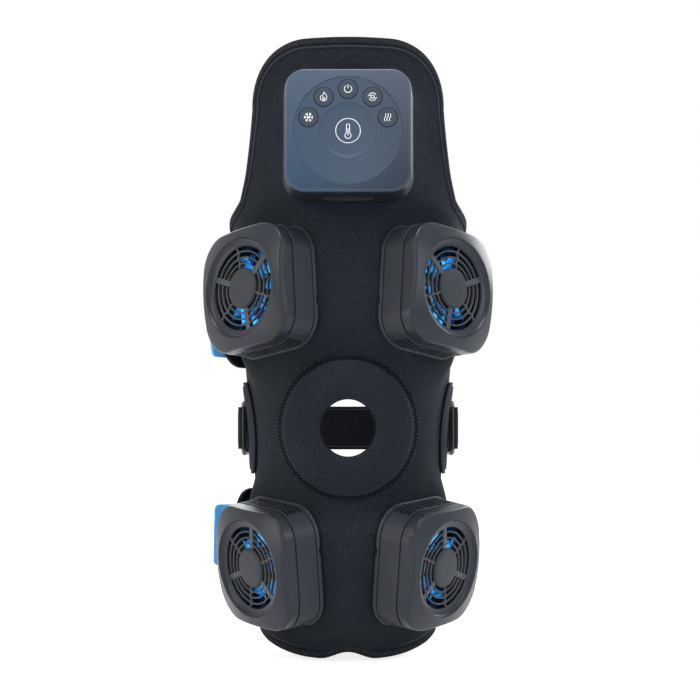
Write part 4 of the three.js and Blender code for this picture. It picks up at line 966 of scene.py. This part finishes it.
# Thermal modules
capForm = {
    "dome": 128, "edgeLevel": 32, "fillet": 1.5, "rim": 0.9, "grilleLevel": 30.7, "blend": 3.1, "mouthEdge": 35.8,
    "side": [(3.4, 19.9), (1.4, 19.9), (1.4, 21.6), (0.75, 21.65), (0.5, 21.9), (0.6, 25), (0.75, 28)],
    "mouth": [(35.35, -0.04), (35.05, -0.2), (34.85, -0.55)],  # radius, height off the dome
    "dish": [  # radius, level
        (34.3, 32.5), (33.2, 31.7), (31.6, 31.05), (30.2, 30.8), (29.7, 30.7), (29.5, 30.3), (29.5, 28.9),
        (31.5, 28.6),
    ],
    "back": [(3.4, 27.4), (3.4, 19.9)],
}
grilleForm = {
    "rings": (17.4, 21.7, 26.0), "ringWidth": 0.95, "ringEdge": 0.3, "low": 28.8, "inner": 14.2, "outer": 29.7,
    "thinAngles": (97, 217, 337), "zigzag": 4.0, "thin": 1.1, "thinDrop": 0.1, "barEdge": 0.2,
    "spokeAngles": (37, 157, 277), "spoke": (13.8, 29.9), "broad": 4, "spokeLevel": 30.35,
    "hub": [
        (0, 31.8), (6, 31.8), (12.2, 31.78), (12.9, 31.6), (13.3, 31.3), (14.1, 30.8), (14.25, 30.5), (14.25, 28.8),
        (0, 28.8),
    ],
}
rotorForm = {
    "hub": 13.6, "reach": 27.8, "low": 17.9, "high": 26.9, "blades": 7, "rise": 7.4, "root": 60, "tip": 50,
    "rootIn": 0.8, "camber": 0.9, "leastRadius": 16, "sweep": 0.2, "thickness": 1.0,
    "core": [(0, 26.9), (12.6, 26.9), (13.3, 26.6), (13.6, 26.0), (13.6, 17.9), (0, 17.9)],
}
ventForm = {
    "first": 6.2, "pitch": 3.5, "rows": 4, "height": 2.4, "reach": 30.5, "rib": 10.2, "ribWidth": 1.8,
    "depth": 13, "inset": 4.5,
}
frameForm = {
    "section": [
        (-0.7, 0.3), (-1, 0.6), (-1, 2.1), (-0.85, 2.55), (-0.5, 2.83), (0, 2.9), (17, 2.9), (17, 0.3), (-0.7, 0.3),
    ],
    "notch": (2.2, 5, 1.4), "notchPlace": (1, -13, 1.1),
}
housingSection = [
    (0.25, 3.2), (0, 3.45), (0.25, 11), (0.48, 19.3), (0.75, 19.6), (2.5, 19.6), (2.0, 3.2), (0.25, 3.2),
]
finMetal = ((13, 16, 21), (25, 29, 37), 0.5)  # dark, light, roughness


def domeLevel(radius):
    top = capForm["edgeLevel"] + (moduleForm["width"] / 2) ** 2 / (2 * capForm["dome"])
    return top - radius * radius / (2 * capForm["dome"])


def moduleSweep(section):
    return roundedSweep(moduleForm["width"], moduleForm["height"], moduleForm["corner"], section)


def baseFrameMesh():
    across, along, level = frameForm["notchPlace"]
    notch = boxOf(*frameForm["notch"], (moduleForm["width"] / 2 + across, along, level))
    return cutBy(moduleSweep(frameForm["section"]), notch)


def housingMesh():
    slots = bmesh.new()
    rib, half = ventForm["rib"], ventForm["ribWidth"] / 2
    spans = [(-ventForm["reach"], -rib - half), (-rib + half, rib - half), (rib + half, ventForm["reach"])]
    for end in (-1, 1):
        for row in range(ventForm["rows"]):
            level = ventForm["first"] + row * ventForm["pitch"]
            for left, right in spans:
                centre = ((left + right) / 2, end * (moduleForm["height"] / 2 - ventForm["inset"]), level)
                mergeInto(slots, boxOf(right - left, ventForm["depth"], ventForm["height"], centre))
    return cutBy(moduleSweep(housingSection), slots)


def capMesh():
    width, height, corner = moduleForm["width"], moduleForm["height"], moduleForm["corner"]
    fillet = capForm["fillet"]
    rows = [("edge", inset, level) for inset, level in capForm["side"]]
    for step in range(7):
        turn = math.radians(15 * step)
        rows.append(("rim", capForm["rim"] + fillet * (1 - math.cos(turn)), fillet * (math.sin(turn) - 1)))
    rows += [("blend", step / 9, 0) for step in range(1, 10)]
    rows += [("mouth", radius, drop) for radius, drop in capForm["mouth"]]
    rows += [("dish", radius, level) for radius, level in capForm["dish"]]
    rows += [("edge", inset, level) for inset, level in capForm["back"]]

    def edgePlace(u, inset):
        return outlinePoint(u, width - 2 * inset, height - 2 * inset, corner - inset)

    def capPoint(u, v):
        kind, size, level = rows[round(v * (len(rows) - 1))]
        outline = edgePlace(u, capForm["blend"])
        turn = math.atan2(outline.y, outline.x)
        radius = capForm["mouthEdge"] if kind == "blend" else size
        place = Vector((radius * math.cos(turn), radius * math.sin(turn)))
        if kind == "blend":
            place = outline.lerp(place, size)
        elif kind in ("edge", "rim"):
            place = edgePlace(u, size)
        if kind in ("rim", "blend", "mouth"):
            level += domeLevel(size if kind == "mouth" else place.length)
        return Vector((place.x, place.y, level))

    return mappedGrid(outlineSteps, len(rows) - 1, capPoint)


def around(radius, degrees):
    angle = math.radians(degrees)
    return Vector((radius * math.cos(angle), radius * math.sin(angle), 0))


def grilleRingsMesh():
    whole = bmesh.new()
    half, low, top = grilleForm["ringWidth"] / 2, grilleForm["low"], capForm["grilleLevel"]
    edge = grilleForm["ringEdge"]
    for radius in grilleForm["rings"]:
        inside, outside = radius - half, radius + half
        mergeInto(whole, turned([
            (inside, low), (inside, top - edge), (inside + edge, top), (outside - edge, top), (outside, top - edge),
            (outside, low), (inside, low)], 96))
    radii = [grilleForm["inner"], *grilleForm["rings"], grilleForm["outer"]]
    for centre in grilleForm["thinAngles"]:
        for index, pair in enumerate(zip(radii, radii[1:])):
            swing = grilleForm["zigzag"] / 2 * (1 if index % 2 else -1)
            start, end = around(pair[0], centre - swing), around(pair[1], centre + swing)
            mergeInto(whole, barBetween(start, end, grilleForm["thin"], low, top - grilleForm["thinDrop"]))
    return whole


def barBetween(start, end, width, low, high):
    bar = boxOf((end - start).length, width, high - low, (0, 0, (low + high) / 2), grilleForm["barEdge"])
    turn = Matrix.Rotation(math.atan2(end.y - start.y, end.x - start.x), 4, "Z")
    bmesh.ops.transform(bar, matrix=Matrix.Translation((start + end) / 2) @ turn, verts=bar.verts)
    return bar


def grilleHubMesh():
    return turned(grilleForm["hub"], 72)


def grilleSpokesMesh():
    whole = bmesh.new()
    low, high = grilleForm["low"], grilleForm["spokeLevel"]
    for angle in grilleForm["spokeAngles"]:
        start, end = (around(radius, angle) for radius in grilleForm["spoke"])
        mergeInto(whole, barBetween(start, end, grilleForm["broad"], low, high))
    return whole


def rotorMesh():
    whole = turned(rotorForm["core"], 60)
    middle = (rotorForm["low"] + rotorForm["high"]) / 2
    for blade in range(rotorForm["blades"]):
        start = math.tau * blade / rotorForm["blades"]

        def bladePoint(u, v):
            radius = rotorForm["hub"] - rotorForm["rootIn"]
            radius += (rotorForm["reach"] - radius) * v
            pitch = math.radians(rotorForm["root"] + (rotorForm["tip"] - rotorForm["root"]) * v)
            rise = (u - 0.5) * rotorForm["rise"]
            run = rise / math.tan(pitch) + rotorForm["camber"] * math.cos(math.pi * (u - 0.5))
            turn = start + run / max(radius, rotorForm["leastRadius"]) + rotorForm["sweep"] * v * v
            return Vector((radius * math.cos(turn), radius * math.sin(turn), middle + rise))

        skin = mappedGrid(10, 8, bladePoint)
        bmesh.ops.solidify(skin, geom=skin.faces[:], thickness=rotorForm["thickness"])
        mergeInto(whole, skin)
    return whole


def makeModules():
    masters = [
        # piece, mesh, material, slot, end of the replaced node's name
        ("BaseFrame", baseFrameMesh(), housingPlastic, "housing", "_base_frame"),
        ("Housing", housingMesh(), housingPlastic, "housing", "_housing"),
        ("Cap", capMesh(), capPlastic, "housing", "_grille_cap"),
        ("GrilleRings", grilleRingsMesh(), grillePlastic, "housing", ""),
        ("GrilleHub", grilleHubMesh(), hubPlastic, "housing", ""),
        ("GrilleSpokes", grilleSpokesMesh(), spokePlastic, "housing", ""),
        ("Rotor", rotorMesh(), None, "fan", "_fan_rotor"),
    ]
    for moduleName, place in modulePlaces.items():
        row, side = moduleName.split("_")
        start = row + side.capitalize()
        fins = lightUp(makeMetal(start + "Fins", *finMetal), place, finGlow)
        blades = lightUp(plasticRecipe(start + "Blades", fanLook), place, rotorGlow)
        for pieceName, master, material, slotName, nodeEnd in masters:
            nodeNames = [moduleName + nodeEnd] if nodeEnd else []
            body = "wrap" if material else moduleName + "_fan"
            finishPiece(start + pieceName, master.copy(), material or blades, body, nodeNames, place)
        paintNode(moduleName + "_fan_frame", fanPlastic)
        paintNode(moduleName + "_heat_sink", fins)
        paintNode(moduleName + "_cooling_chip", ceramic)
        paintNode(moduleName + "_cold_plate", aluminium)
    for master in masters:
        master[1].free()


def paintNode(nodeName, material):
    node = nodes[nodeName]
    if not node.material_slots:
        node.data.materials.append(material)
    for materialSlot in node.material_slots:
        materialSlot.material = material


# Control box
controlForm = {
    "bodySection": [
        (3.0, 0.9), (0.4, 1.0), (-1.0, 1.5), (-1.8, 2.6), (-2.0, 4.4), (-1.7, 7.0), (-1.3, 10.0), (-0.9, 14.0),
        (-0.45, 18.5), (0, 23.2), (0.3, 23.7), (2.4, 23.7), (2.6, 18.5), (3.1, 11.4), (4.4, 7.4), (6.4, 5.6),
        (9.4, 4.9),
    ],
    "sideInsets": [(2.5, -2), (4.4, -2), (7, -1.7), (10, -1.3), (14, -0.9), (18.5, -0.45), (23.7, 0)],
    "rimSection": [
        (0, 24), (0, 25.8), (0.12, 26.3), (0.4, 26.7), (0.85, 26.93), (1.35, 27), (2.0, 27), (2.0, 24), (0, 24),
    ],
    "back": 24, "face": 27, "rimIn": 2.02, "disc": 37.4, "discLevel": 26.6, "dish": 19.4, "dishPlay": 0.04,
    "bowl": [
        (0, 24.9), (6, 24.91), (11, 24.95), (14.6, 25.06), (16.4, 25.3), (17.6, 25.7), (18.5, 26.2), (19.1, 26.55),
        (19.3, 26.6), (19.4, 26.5), (19.4, 23.7), (20.3, 23.7), (20.3, 22.6), (0, 22.6),
    ],
    "buttonCircle": 28.3, "button": 6.5, "gap": 0.4,
    "buttonSide": [  # radius off the button's own, level
        (-1.6, 27.0), (-0.75, 27.12), (-0.3, 27.02), (-0.06, 26.75), (0, 26.3), (0, 23.7), (0.9, 23.7), (0.9, 22.6),
    ],
    "angles": {"cold": -72, "heat": -36, "power": 0, "contrast": 36, "wave": 72},
    "portWidth": 35, "portHeight": 7.6, "portLevel": 13.6, "portLip": 0.6, "lipStart": 0.72, "lipRun": 0.2,
    "portBow": 0.55, "cover": (0, 0, -0.3, 1.3), "pocket": (0.3, 0.6, 2, 3.9),  # margin, swing, outer, depth
    "hingeDrop": 0.65, "hingeDot": 0.8, "dotOut": 1.4, "dotLength": 4, "pin": 0.5, "pinLength": 38, "pinIn": 0.95,
}


def boxSideDepth(level):  # distance of the body's lower side from the box's middle
    return boxForm["height"] / 2 - valueAt(controlForm["sideInsets"], level)


def portBlock(margin, swing, outer, depth):  # block that follows the body's lower side: cover or its pocket
    halfWidth = controlForm["portWidth"] / 2 + margin

    def skinPoint(u, v):
        side = 2 * u - 1
        drop = controlForm["portHeight"] * (1 - controlForm["portBow"] * side ** 4) + swing
        level = controlForm["portLevel"] + swing - (drop + swing) * v
        stand = easeBetween((v - controlForm["lipStart"]) / controlForm["lipRun"])
        lip = controlForm["portLip"] * stand  # the free edge stands out for a fingernail
        return Vector((halfWidth * side, -boxSideDepth(level) - outer - lip, level))

    bm = mappedGrid(28, 12, skinPoint)
    made = bmesh.ops.extrude_face_region(bm, geom=bm.faces[:])
    bmesh.ops.translate(bm, vec=(0, depth, 0), verts=vertsOf(made))
    return faceOutward(bm)


def buttonCentre(name):
    angle = math.radians(controlForm["angles"][name])
    return Vector((controlForm["buttonCircle"] * math.sin(angle), controlForm["buttonCircle"] * math.cos(angle), 0))


def makeControlBox():
    width, height, corner = boxForm["width"], boxForm["height"], boxForm["corner"]
    back, face, rimIn = controlForm["back"], controlForm["face"], controlForm["rimIn"]
    hingeLevel = controlForm["portLevel"] - controlForm["hingeDrop"]
    hingeDepth = boxSideDepth(hingeLevel)
    shell = roundedBlock(width, height, corner, controlForm["bodySection"])
    pocket = portBlock(*controlForm["pocket"])
    dotPlace = controlForm["portWidth"] / 2 + controlForm["dotOut"]
    for x in (-dotPlace, dotPlace):  # the ends of the cover's hinge show as two dark dots
        centre = (x, -hingeDepth, hingeLevel)
        mergeInto(pocket, rodOf(controlForm["hingeDot"], controlForm["dotLength"], 20, centre, "X"))
    finishPiece("controlBody", cutBy(shell, pocket), bodyPlastic, "wrap", ["control_body"], boxPlace)
    rim = roundedSweep(width, height, corner, controlForm["rimSection"])
    finishPiece("faceRim", rim, rimPaintAndReflection, "wrap", [], boxPlace)

    disc, level = controlForm["disc"], controlForm["discLevel"]
    rows = [
        ("edge", rimIn, back), ("edge", rimIn, face - 0.02), ("edge", 2.3, face), ("edge", 4.0, face),
        ("circle", disc + 0.45, face), ("circle", disc + 0.12, face - 0.08), ("circle", disc, level),
        ("circle", disc, back), ("edge", rimIn, back),
    ]

    def platePoint(u, v):
        kind, size, high = rows[round(v * (len(rows) - 1))]
        inset = size if kind == "edge" else 4
        place = outlinePoint(u, width - 2 * inset, height - 2 * inset, corner - inset)
        if kind == "circle":
            place = place.normalized() * size
        return Vector((place.x, place.y, high))

    plate = mappedGrid(outlineSteps, len(rows) - 1, platePoint)
    finishPiece("controlFace", plate, facePaintAndReflection, "wrap", ["control_face"], boxPlace)

    hole, edge = controlForm["dish"] + controlForm["dishPlay"], disc - 0.05
    ring = turned([
        (hole, back), (hole, level - 0.15), (hole + 0.15, level), (edge - 0.15, level), (edge, level - 0.15),
        (edge, back), (hole, back)], 144)
    holes = bmesh.new()
    for name in controlForm["angles"]:
        centre = buttonCentre(name) + Vector((0, 0, level))
        mergeInto(holes, rodOf(controlForm["button"] + controlForm["gap"], 12, 56, centre))
    finishPiece("controlDisc", cutBy(ring, holes), discPaintAndReflection, "wrap", [], boxPlace)
    bowl = turned(controlForm["bowl"], 120)
    finishPiece("controlDish", bowl, discPaintAndReflection, "wrap", ["control_dish"], boxPlace)

    side = [(controlForm["button"] + out, high) for out, high in controlForm["buttonSide"]]
    for name in controlForm["angles"]:
        cap = turned([(0, 26.85), (3, 26.88), *side, (2, 22.6), (2, 22.15), (0, 22.15)], 64)
        bmesh.ops.translate(cap, vec=buttonCentre(name), verts=cap.verts)
        finishPiece(name + "Button", cap, buttonPlastic, "button_" + name, ["button_" + name], boxPlace)

    cover = portBlock(*controlForm["cover"])
    centre = (0, controlForm["pinIn"] - hingeDepth, hingeLevel)
    mergeInto(cover, rodOf(controlForm["pin"], controlForm["pinLength"], 24, centre, "Y"))
    finishPiece("portCover", cover, rubberSeal, "port_cover", ["port_cover"], boxPlace, sharp=35)
    makeSymbols()
    paintNode("control_dock_plate", housingPlastic)
    paintNode("control_board", boardGreen)
    paintNode("battery_pack", batteryFilm)


def arc(radius, start, end, steps, middle=(0, 0)):  # from one angle to another, in degrees
    points = []
    for step in range(steps + 1):
        angle = math.radians(start + (end - start) * step / steps)
        points.append((middle[0] + radius * math.cos(angle), middle[1] + radius * math.sin(angle)))
    return points


def turnedBy(points, degrees):
    turn = math.radians(degrees)
    return [(x * math.cos(turn) - y * math.sin(turn), x * math.sin(turn) + y * math.cos(turn)) for x, y in points]


# Signs on the buttons and in the dish, as lines of (x, y) about their middle
flakeArm = ([(0, 0), (3.1, 0)], [(2.9, 0.95), (1.95, 0), (2.9, -0.95)])
symbolForm = {
    "level": 26.98, "thread": 0.27, "dishLevel": 25.02, "dishThread": 0.3,
    "cold": [turnedBy(line, 60 * sixth) for sixth in range(6) for line in flakeArm],
    "heat": [
        [(0.2, 3.3), (0.9, 2.2), (1.9, 1.1), (2.3, -0.3), (1.9, -1.8), (0.9, -2.7), (-0.3, -2.9), (-1.5, -2.4),
         (-2.2, -1.2), (-2.1, 0.1), (-1.4, 1.0), (-1.0, 0.1), (-0.5, 0.9), (-0.2, 2.0), (0.2, 3.3)],
        [(0.2, -0.2), (0.9, -1.1), (0.5, -2.0), (-0.4, -2.1), (-0.8, -1.3), (-0.2, -0.7), (0.2, -0.2)],
    ],
    "power": [arc(2.5, 122, 418, 26), [(0, 3.1), (0, 0.4)]],
    "contrast": [
        arc(2.6, 25, 155, 12), arc(2.6, 205, 335, 12), [(-3.2, 0.3), (-2.3, 1.2), (-1.3, 0.5)],
        [(3.2, -0.3), (2.3, -1.2), (1.3, -0.5)], arc(1.1, 0, 360, 14),
    ],
    "wave": [
        [(column + 0.55 * math.sin(step / 12 * math.tau), 2.6 - 5.2 * step / 12) for step in range(13)]
        for column in (-1.7, 0, 1.7)
    ],
    "dish": [
        arc(8.4, 0, 360, 60), [(-1.1, -1.6), (-1.1, 3.6), *arc(1.1, 180, 0, 9, (0, 3.6)), (1.1, -1.6)],
        arc(2.1, 58, -238, 24, (0, -3.3)), [(0, -3.3), (0, 1.6)],
    ],
}


def symbolPaths(name, centre, level):
    return [[boxPlace @ (centre + Vector((x, y, level))) for x, y in line] for line in symbolForm[name]]


def makeSymbols():
    for name in controlForm["angles"]:
        paths = symbolPaths(name, buttonCentre(name), symbolForm["level"])
        makeThread(name + "Symbol", paths, symbolForm["thread"], 1, False, symbolInk, "button_" + name)
    paths = symbolPaths("dish", Vector(), symbolForm["dishLevel"])
    makeThread("dishSymbol", paths, symbolForm["dishThread"], 1, False, symbolInk)


# Side hardware: sewn ear, webbing loop and wire ring on each side, and the strap behind the knee
sideForm = {
    "earFront": 66, "earBack": 99, "earHalfHeight": 33, "earFlat": (0.049, 0.066), "earArea": 0.0028,
    "earThickness": 2.5, "earLift": 5.6, "earThin": 0.28, "earEdge": 0.07, "bow": 0.75, "piping": 0.9,
    "stitches": 120, "stitchIn": 0.86, "stitchOut": 0.95, "thread": 0.2, "threadLift": 0.1,
    "loopStart": 76, "loopEnd": 3.5, "loopHalfHeight": 16, "webbing": 1.6, "webbingThin": 0.35,
    "ringFront": 103, "ringLift": 14.33, "ringReach": 12, "ringHeight": 42, "ringBar": 1.5, "ringCorner": 3.2,
    "frontEye": 2.6, "rearEye": 3.3, "strapHalfHeight": 17.5, "strapLift": 9.6, "strapAngle": 121,
    "strapFlat": 0.035, "strapStitches": 15.2, "strapThreadLift": 0.85, "strapThread": 0.22,
}


def earPoint(side, u, v, lift):
    row = 2 * v - 1
    bow = math.sqrt(1 - sideForm["bow"] * row * row)
    middle = (sideForm["earFront"] + sideForm["earBack"]) / 2
    reach = middle + (u * 2 - 1) * (middle - sideForm["earFront"]) * bow
    return legPoint(math.radians(side * reach), row * sideForm["earHalfHeight"], sideForm["earLift"] + lift)


def planPath(start, end, lift, steps):
    return [legPoint(math.radians(start + (end - start) * step / steps), 0, lift) for step in range(steps + 1)]


def ribbon(path, thickness, halfHeight, rows=6):  # upright band along a path seen from above
    count = len(path) - 1

    def bandPoint(u, v, side):
        index = round(u * count)
        along = (path[min(count, index + 1)] - path[max(0, index - 1)]).normalized()
        across = Vector((-along.y, along.x, 0))
        edge = 1 - sideForm["webbingThin"] * (abs(2 * v - 1) > 0.99)
        point = path[index] + across * thickness * (side - 0.5) * edge
        point.z = halfHeight * (2 * v - 1)
        return point

    return doubleSkin(count, rows, bandPoint)


def ringBars(side):
    angle = math.radians(side * sideForm["ringFront"])
    front = legPoint(angle, 0, sideForm["ringLift"])
    ahead = legPoint(math.radians(side * (sideForm["ringFront"] + 1)), 0, sideForm["ringLift"])
    along = (ahead - front).normalized()
    return front, front + along * sideForm["ringReach"], along


def curlAround(middle, along, outward, radius, step, count):  # the webbing's way round a ring's bar
    places = []
    for index in range(count):
        turn = math.radians(-90 + step * index)
        places.append(middle + along * radius * math.cos(turn) + outward * radius * math.sin(turn))
    return places


def earEdge(u, v):  # the patch thins at its bound edge
    nearest = min(u, 1 - u, v, 1 - v)
    return 1 - sideForm["earThin"] + sideForm["earThin"] * easeBetween(nearest / sideForm["earEdge"])


def makeSide(name, side):
    thick = sideForm["earThickness"]
    ear = doubleSkin(30, 40, lambda u, v, skin: earPoint(side, u, v, thick * skin * earEdge(u, v)))
    earPiece = finishPiece(name + "Ear", ear, neoprene, "wrap", [name + "_ear"], sharp=50)

    def stitchPlace(share, reach):
        turn = math.tau * share
        u, v = 0.5 + 0.5 * math.cos(turn) * reach, 0.5 + 0.5 * math.sin(turn) * reach
        return earPoint(side, u, v, thick + sideForm["threadLift"])

    path = zigzagPath(stitchPlace, sideForm["stitches"], sideForm["stitchIn"], sideForm["stitchOut"])
    makeThread(name + "EarStitching", [path], sideForm["thread"], 0, True, threadGrey)
    outline = [(0, step / 40) for step in range(40)] + [(step / 20, 1) for step in range(20)]
    outline += [(1 - u, 1 - v) for u, v in outline]
    edge = [earPoint(side, u, v, thick * 0.6) for u, v in outline]
    makeThread(name + "EarPiping", [edge], sideForm["piping"], 1, True, pipingCord)

    front, back, along = ringBars(side)
    outward = Vector((along.y, -along.x, 0))
    if outward.dot(front) < 0:
        outward = -outward
    radius = sideForm["frontEye"] + sideForm["webbing"] / 2
    lift = sideForm["ringLift"] - sideForm["frontEye"] - sideForm["webbing"] / 2
    path = planPath(
        side * sideForm["loopStart"], side * (sideForm["ringFront"] - sideForm["loopEnd"]), lift - 0.1, 10)
    path += curlAround(front, along, outward, radius, 24, 12)
    loop = ribbon(path, sideForm["webbing"], sideForm["loopHalfHeight"])
    finishPiece(name + "RingLoop", loop, webbing, "wrap", [name + "_ring_loop"], sharp=40)

    middle = (front + back) / 2
    corner = sideForm["ringCorner"]
    wire = []
    halfReach = sideForm["ringReach"] / 2
    halfHeight = sideForm["ringHeight"] / 2 - sideForm["ringBar"]
    for quarter, (across, upright) in enumerate(((1, 1), (-1, 1), (-1, -1), (1, -1))):
        for step in range(7):
            turn = math.radians(90 * quarter + 15 * step)
            reach = across * (halfReach - corner) + corner * math.cos(turn)
            level = upright * (halfHeight - corner) + corner * math.sin(turn)
            wire.append(middle + along * reach + Vector((0, 0, level)))
    makeThread(
        name + "Ring", [wire], sideForm["ringBar"], 4, True, ringPlastic, name + "_ring", [name + "_ring"])


def makeMidStrap():
    radius = sideForm["rearEye"] + sideForm["webbing"] / 2
    path = planPath(-sideForm["strapAngle"], sideForm["strapAngle"] - 360, sideForm["strapLift"], 60)
    for side in (-1, 1):
        back, along = ringBars(side)[1:]
        outward = Vector((back.x, back.y, 0)).normalized()
        outward = (outward - along * outward.dot(along)).normalized()
        curl = curlAround(back, along, outward, radius, -22, 13)
        path = curl[::-1] + path if side < 0 else path + curl
    strap = ribbon(path, sideForm["webbing"], sideForm["strapHalfHeight"], 10)
    piece = finishPiece("midStrap", strap, webbing, "wrap", ["mid_strap"], sharp=40)
    paths = []
    for level in (-sideForm["strapStitches"], sideForm["strapStitches"]):
        for offset in (-sideForm["strapThreadLift"], sideForm["strapThreadLift"]):
            line = []
            for before, point, after in zip(path[13:], path[14:-14], path[15:]):
                direction = (after - before).normalized()
                line.append(point + Vector((-direction.y, direction.x, 0)) * offset + Vector((0, 0, level)))
            paths.append(line)
    makeThread("midStrapStitching", paths, sideForm["strapThread"], 0, False, threadGrey)


# Padded straps round the back and their blue pull tabs
strapForm = {
    "start": 108, "end": 274, "lap": 242, "flare": 11, "gap": 0.9, "thickness": 4, "corner": 14,
    "cornerShare": 0.09, "bend": 0.8, "levels": {"upper": (46, 128), "lower": (-130, -46)},
    "columns": 150, "rows": 30, "width": 82, "edgeReach": 3.2, "edgeThin": 0.35, "slack": 0.3, "swell": 0.25,
    "seams": (0.035, 0.055), "thread": 0.2, "threadLift": 0.02,
    "flat": {"upper": (0.285, 0.082), "lower": (0.262, 0.084)},
}
tabForm = {
    "thickness": 1.8, "halfHeight": {"upper": 25, "lower": 23}, "reach": 16.4, "overlap": 8, "corner": 4,
    "tilt": {"upper": 5, "lower": -4}, "drop": {"upper": -9, "lower": 8}, "curl": {"upper": 0, "lower": 38},
    "curlRun": 10, "seams": (1.6, 5.6), "seamEnd": 0.04,
}


def strapPoint(u, level, lift):
    angle = strapForm["start"] + (strapForm["end"] - strapForm["start"]) * u
    over = max(0, angle - strapForm["lap"]) / (strapForm["end"] - strapForm["lap"])
    lift = legForm["neoprene"] + strapForm["gap"] + lift + strapForm["flare"] * over ** 2
    return legPoint(math.radians(angle), level, lift)


def strapShare(u):  # crowds the last columns into the rounded end
    bend, corner = strapForm["bend"], strapForm["cornerShare"]
    if u <= bend:
        return u / bend * (1 - corner)
    return 1 - corner + corner * math.sin(math.pi / 2 * (u - bend) / (1 - bend))


def strapPlace(row, u, v, lift):
    low, high = strapForm["levels"][row]
    share = strapShare(u)
    corner = strapForm["cornerShare"]
    endShare = min(1, max(0, (share - 1 + corner) / corner))
    half = (high - low) / 2 - strapForm["corner"] * (1 - math.sqrt(1 - endShare ** 2))
    return strapPoint(share, (low + high) / 2 + (2 * v - 1) * half, lift)


def makeBackStrap(row):
    thick = strapForm["thickness"]

    def strapSkin(u, v, side):
        nearest = min(v, 1 - v) * strapForm["width"]
        edge = 1 - strapForm["edgeThin"] * (1 - easeBetween(nearest / strapForm["edgeReach"]))
        swell = strapForm["swell"] * math.sin(math.pi * v) if side else 0
        return strapPlace(row, u, v, thick / 2 + (side - 0.5) * (thick - strapForm["slack"]) * edge + swell * edge)

    strap = doubleSkin(strapForm["columns"], strapForm["rows"], strapSkin)
    piece = finishPiece(row + "Strap", strap, neoprene, "wrap", [row + "_strap"], sharp=50)

    columns, lift = strapForm["columns"], thick + strapForm["threadLift"]
    paths = []
    for v, inward in ((0, 1), (1, -1)):
        for reach in strapForm["seams"]:
            paths.append([strapPlace(row, step / columns, v + inward * reach, lift) for step in range(columns + 1)])
    makeThread(row + "StrapStitching", paths, strapForm["thread"], 0, False, threadGrey)


def tabPoint(row, u, v, lift):
    low, high = strapForm["levels"][row]
    middle = (low + high) / 2 + tabForm["drop"][row]
    slant = math.tan(math.radians(tabForm["tilt"][row]))
    length = tabForm["reach"] + tabForm["overlap"]
    run = length * math.sin(math.pi / 2 * u)
    corner = tabForm["corner"]
    toEnd = max(0, run - length + corner)
    half = tabForm["halfHeight"][row] - corner + math.sqrt(max(0, corner ** 2 - toEnd ** 2))
    drop = (2 * v - 1) * half
    lifted = strapForm["thickness"] + strapForm["gap"] + lift
    end = strapPoint(1, middle + drop, lifted)
    before = strapPoint(1 - strapForm["cornerShare"], middle + drop, lifted)
    along = Vector((end.x - before.x, end.y - before.y, 0)).normalized()
    free = run - tabForm["overlap"] + slant * drop
    bend = math.radians(tabForm["curl"][row]) * easeBetween(free / tabForm["curlRun"])
    return end + (along * math.cos(bend) + Vector((along.y, -along.x, 0)) * math.sin(bend)) * free


def makePullTab(row):
    thick = tabForm["thickness"]
    tab = doubleSkin(26, 60, lambda u, v, side: tabPoint(row, u, v, thick * (0.05 + 0.9 * side)))
    piece = finishPiece(row + "PullTab", tab, tabFelt, "wrap", [row + "_pull_tab"], sharp=50)
    paths = []
    end, lift = tabForm["seamEnd"], thick + strapForm["threadLift"]
    for run in tabForm["seams"]:
        share = math.asin(run / (tabForm["reach"] + tabForm["overlap"])) * 2 / math.pi
        paths.append([tabPoint(row, share, end + (1 - 2 * end) * step / 60, lift) for step in range(61)])
    makeThread(row + "TabStitching", paths, strapForm["thread"], 0, False, tabThread)


makeWrapPanel()
print("wrap panel made")
makeBinding()
makeKneePad()
print("binding and knee pad made")
makeModules()
print("thermal modules made")
makeControlBox()
print("control box made")
for sideName, sideSign in (("left", -1), ("right", 1)):
    makeSide(sideName, sideSign)
makeMidStrap()
for rowName in ("upper", "lower"):
    makeBackStrap(rowName)
    makePullTab(rowName)
print("straps and tabs made")
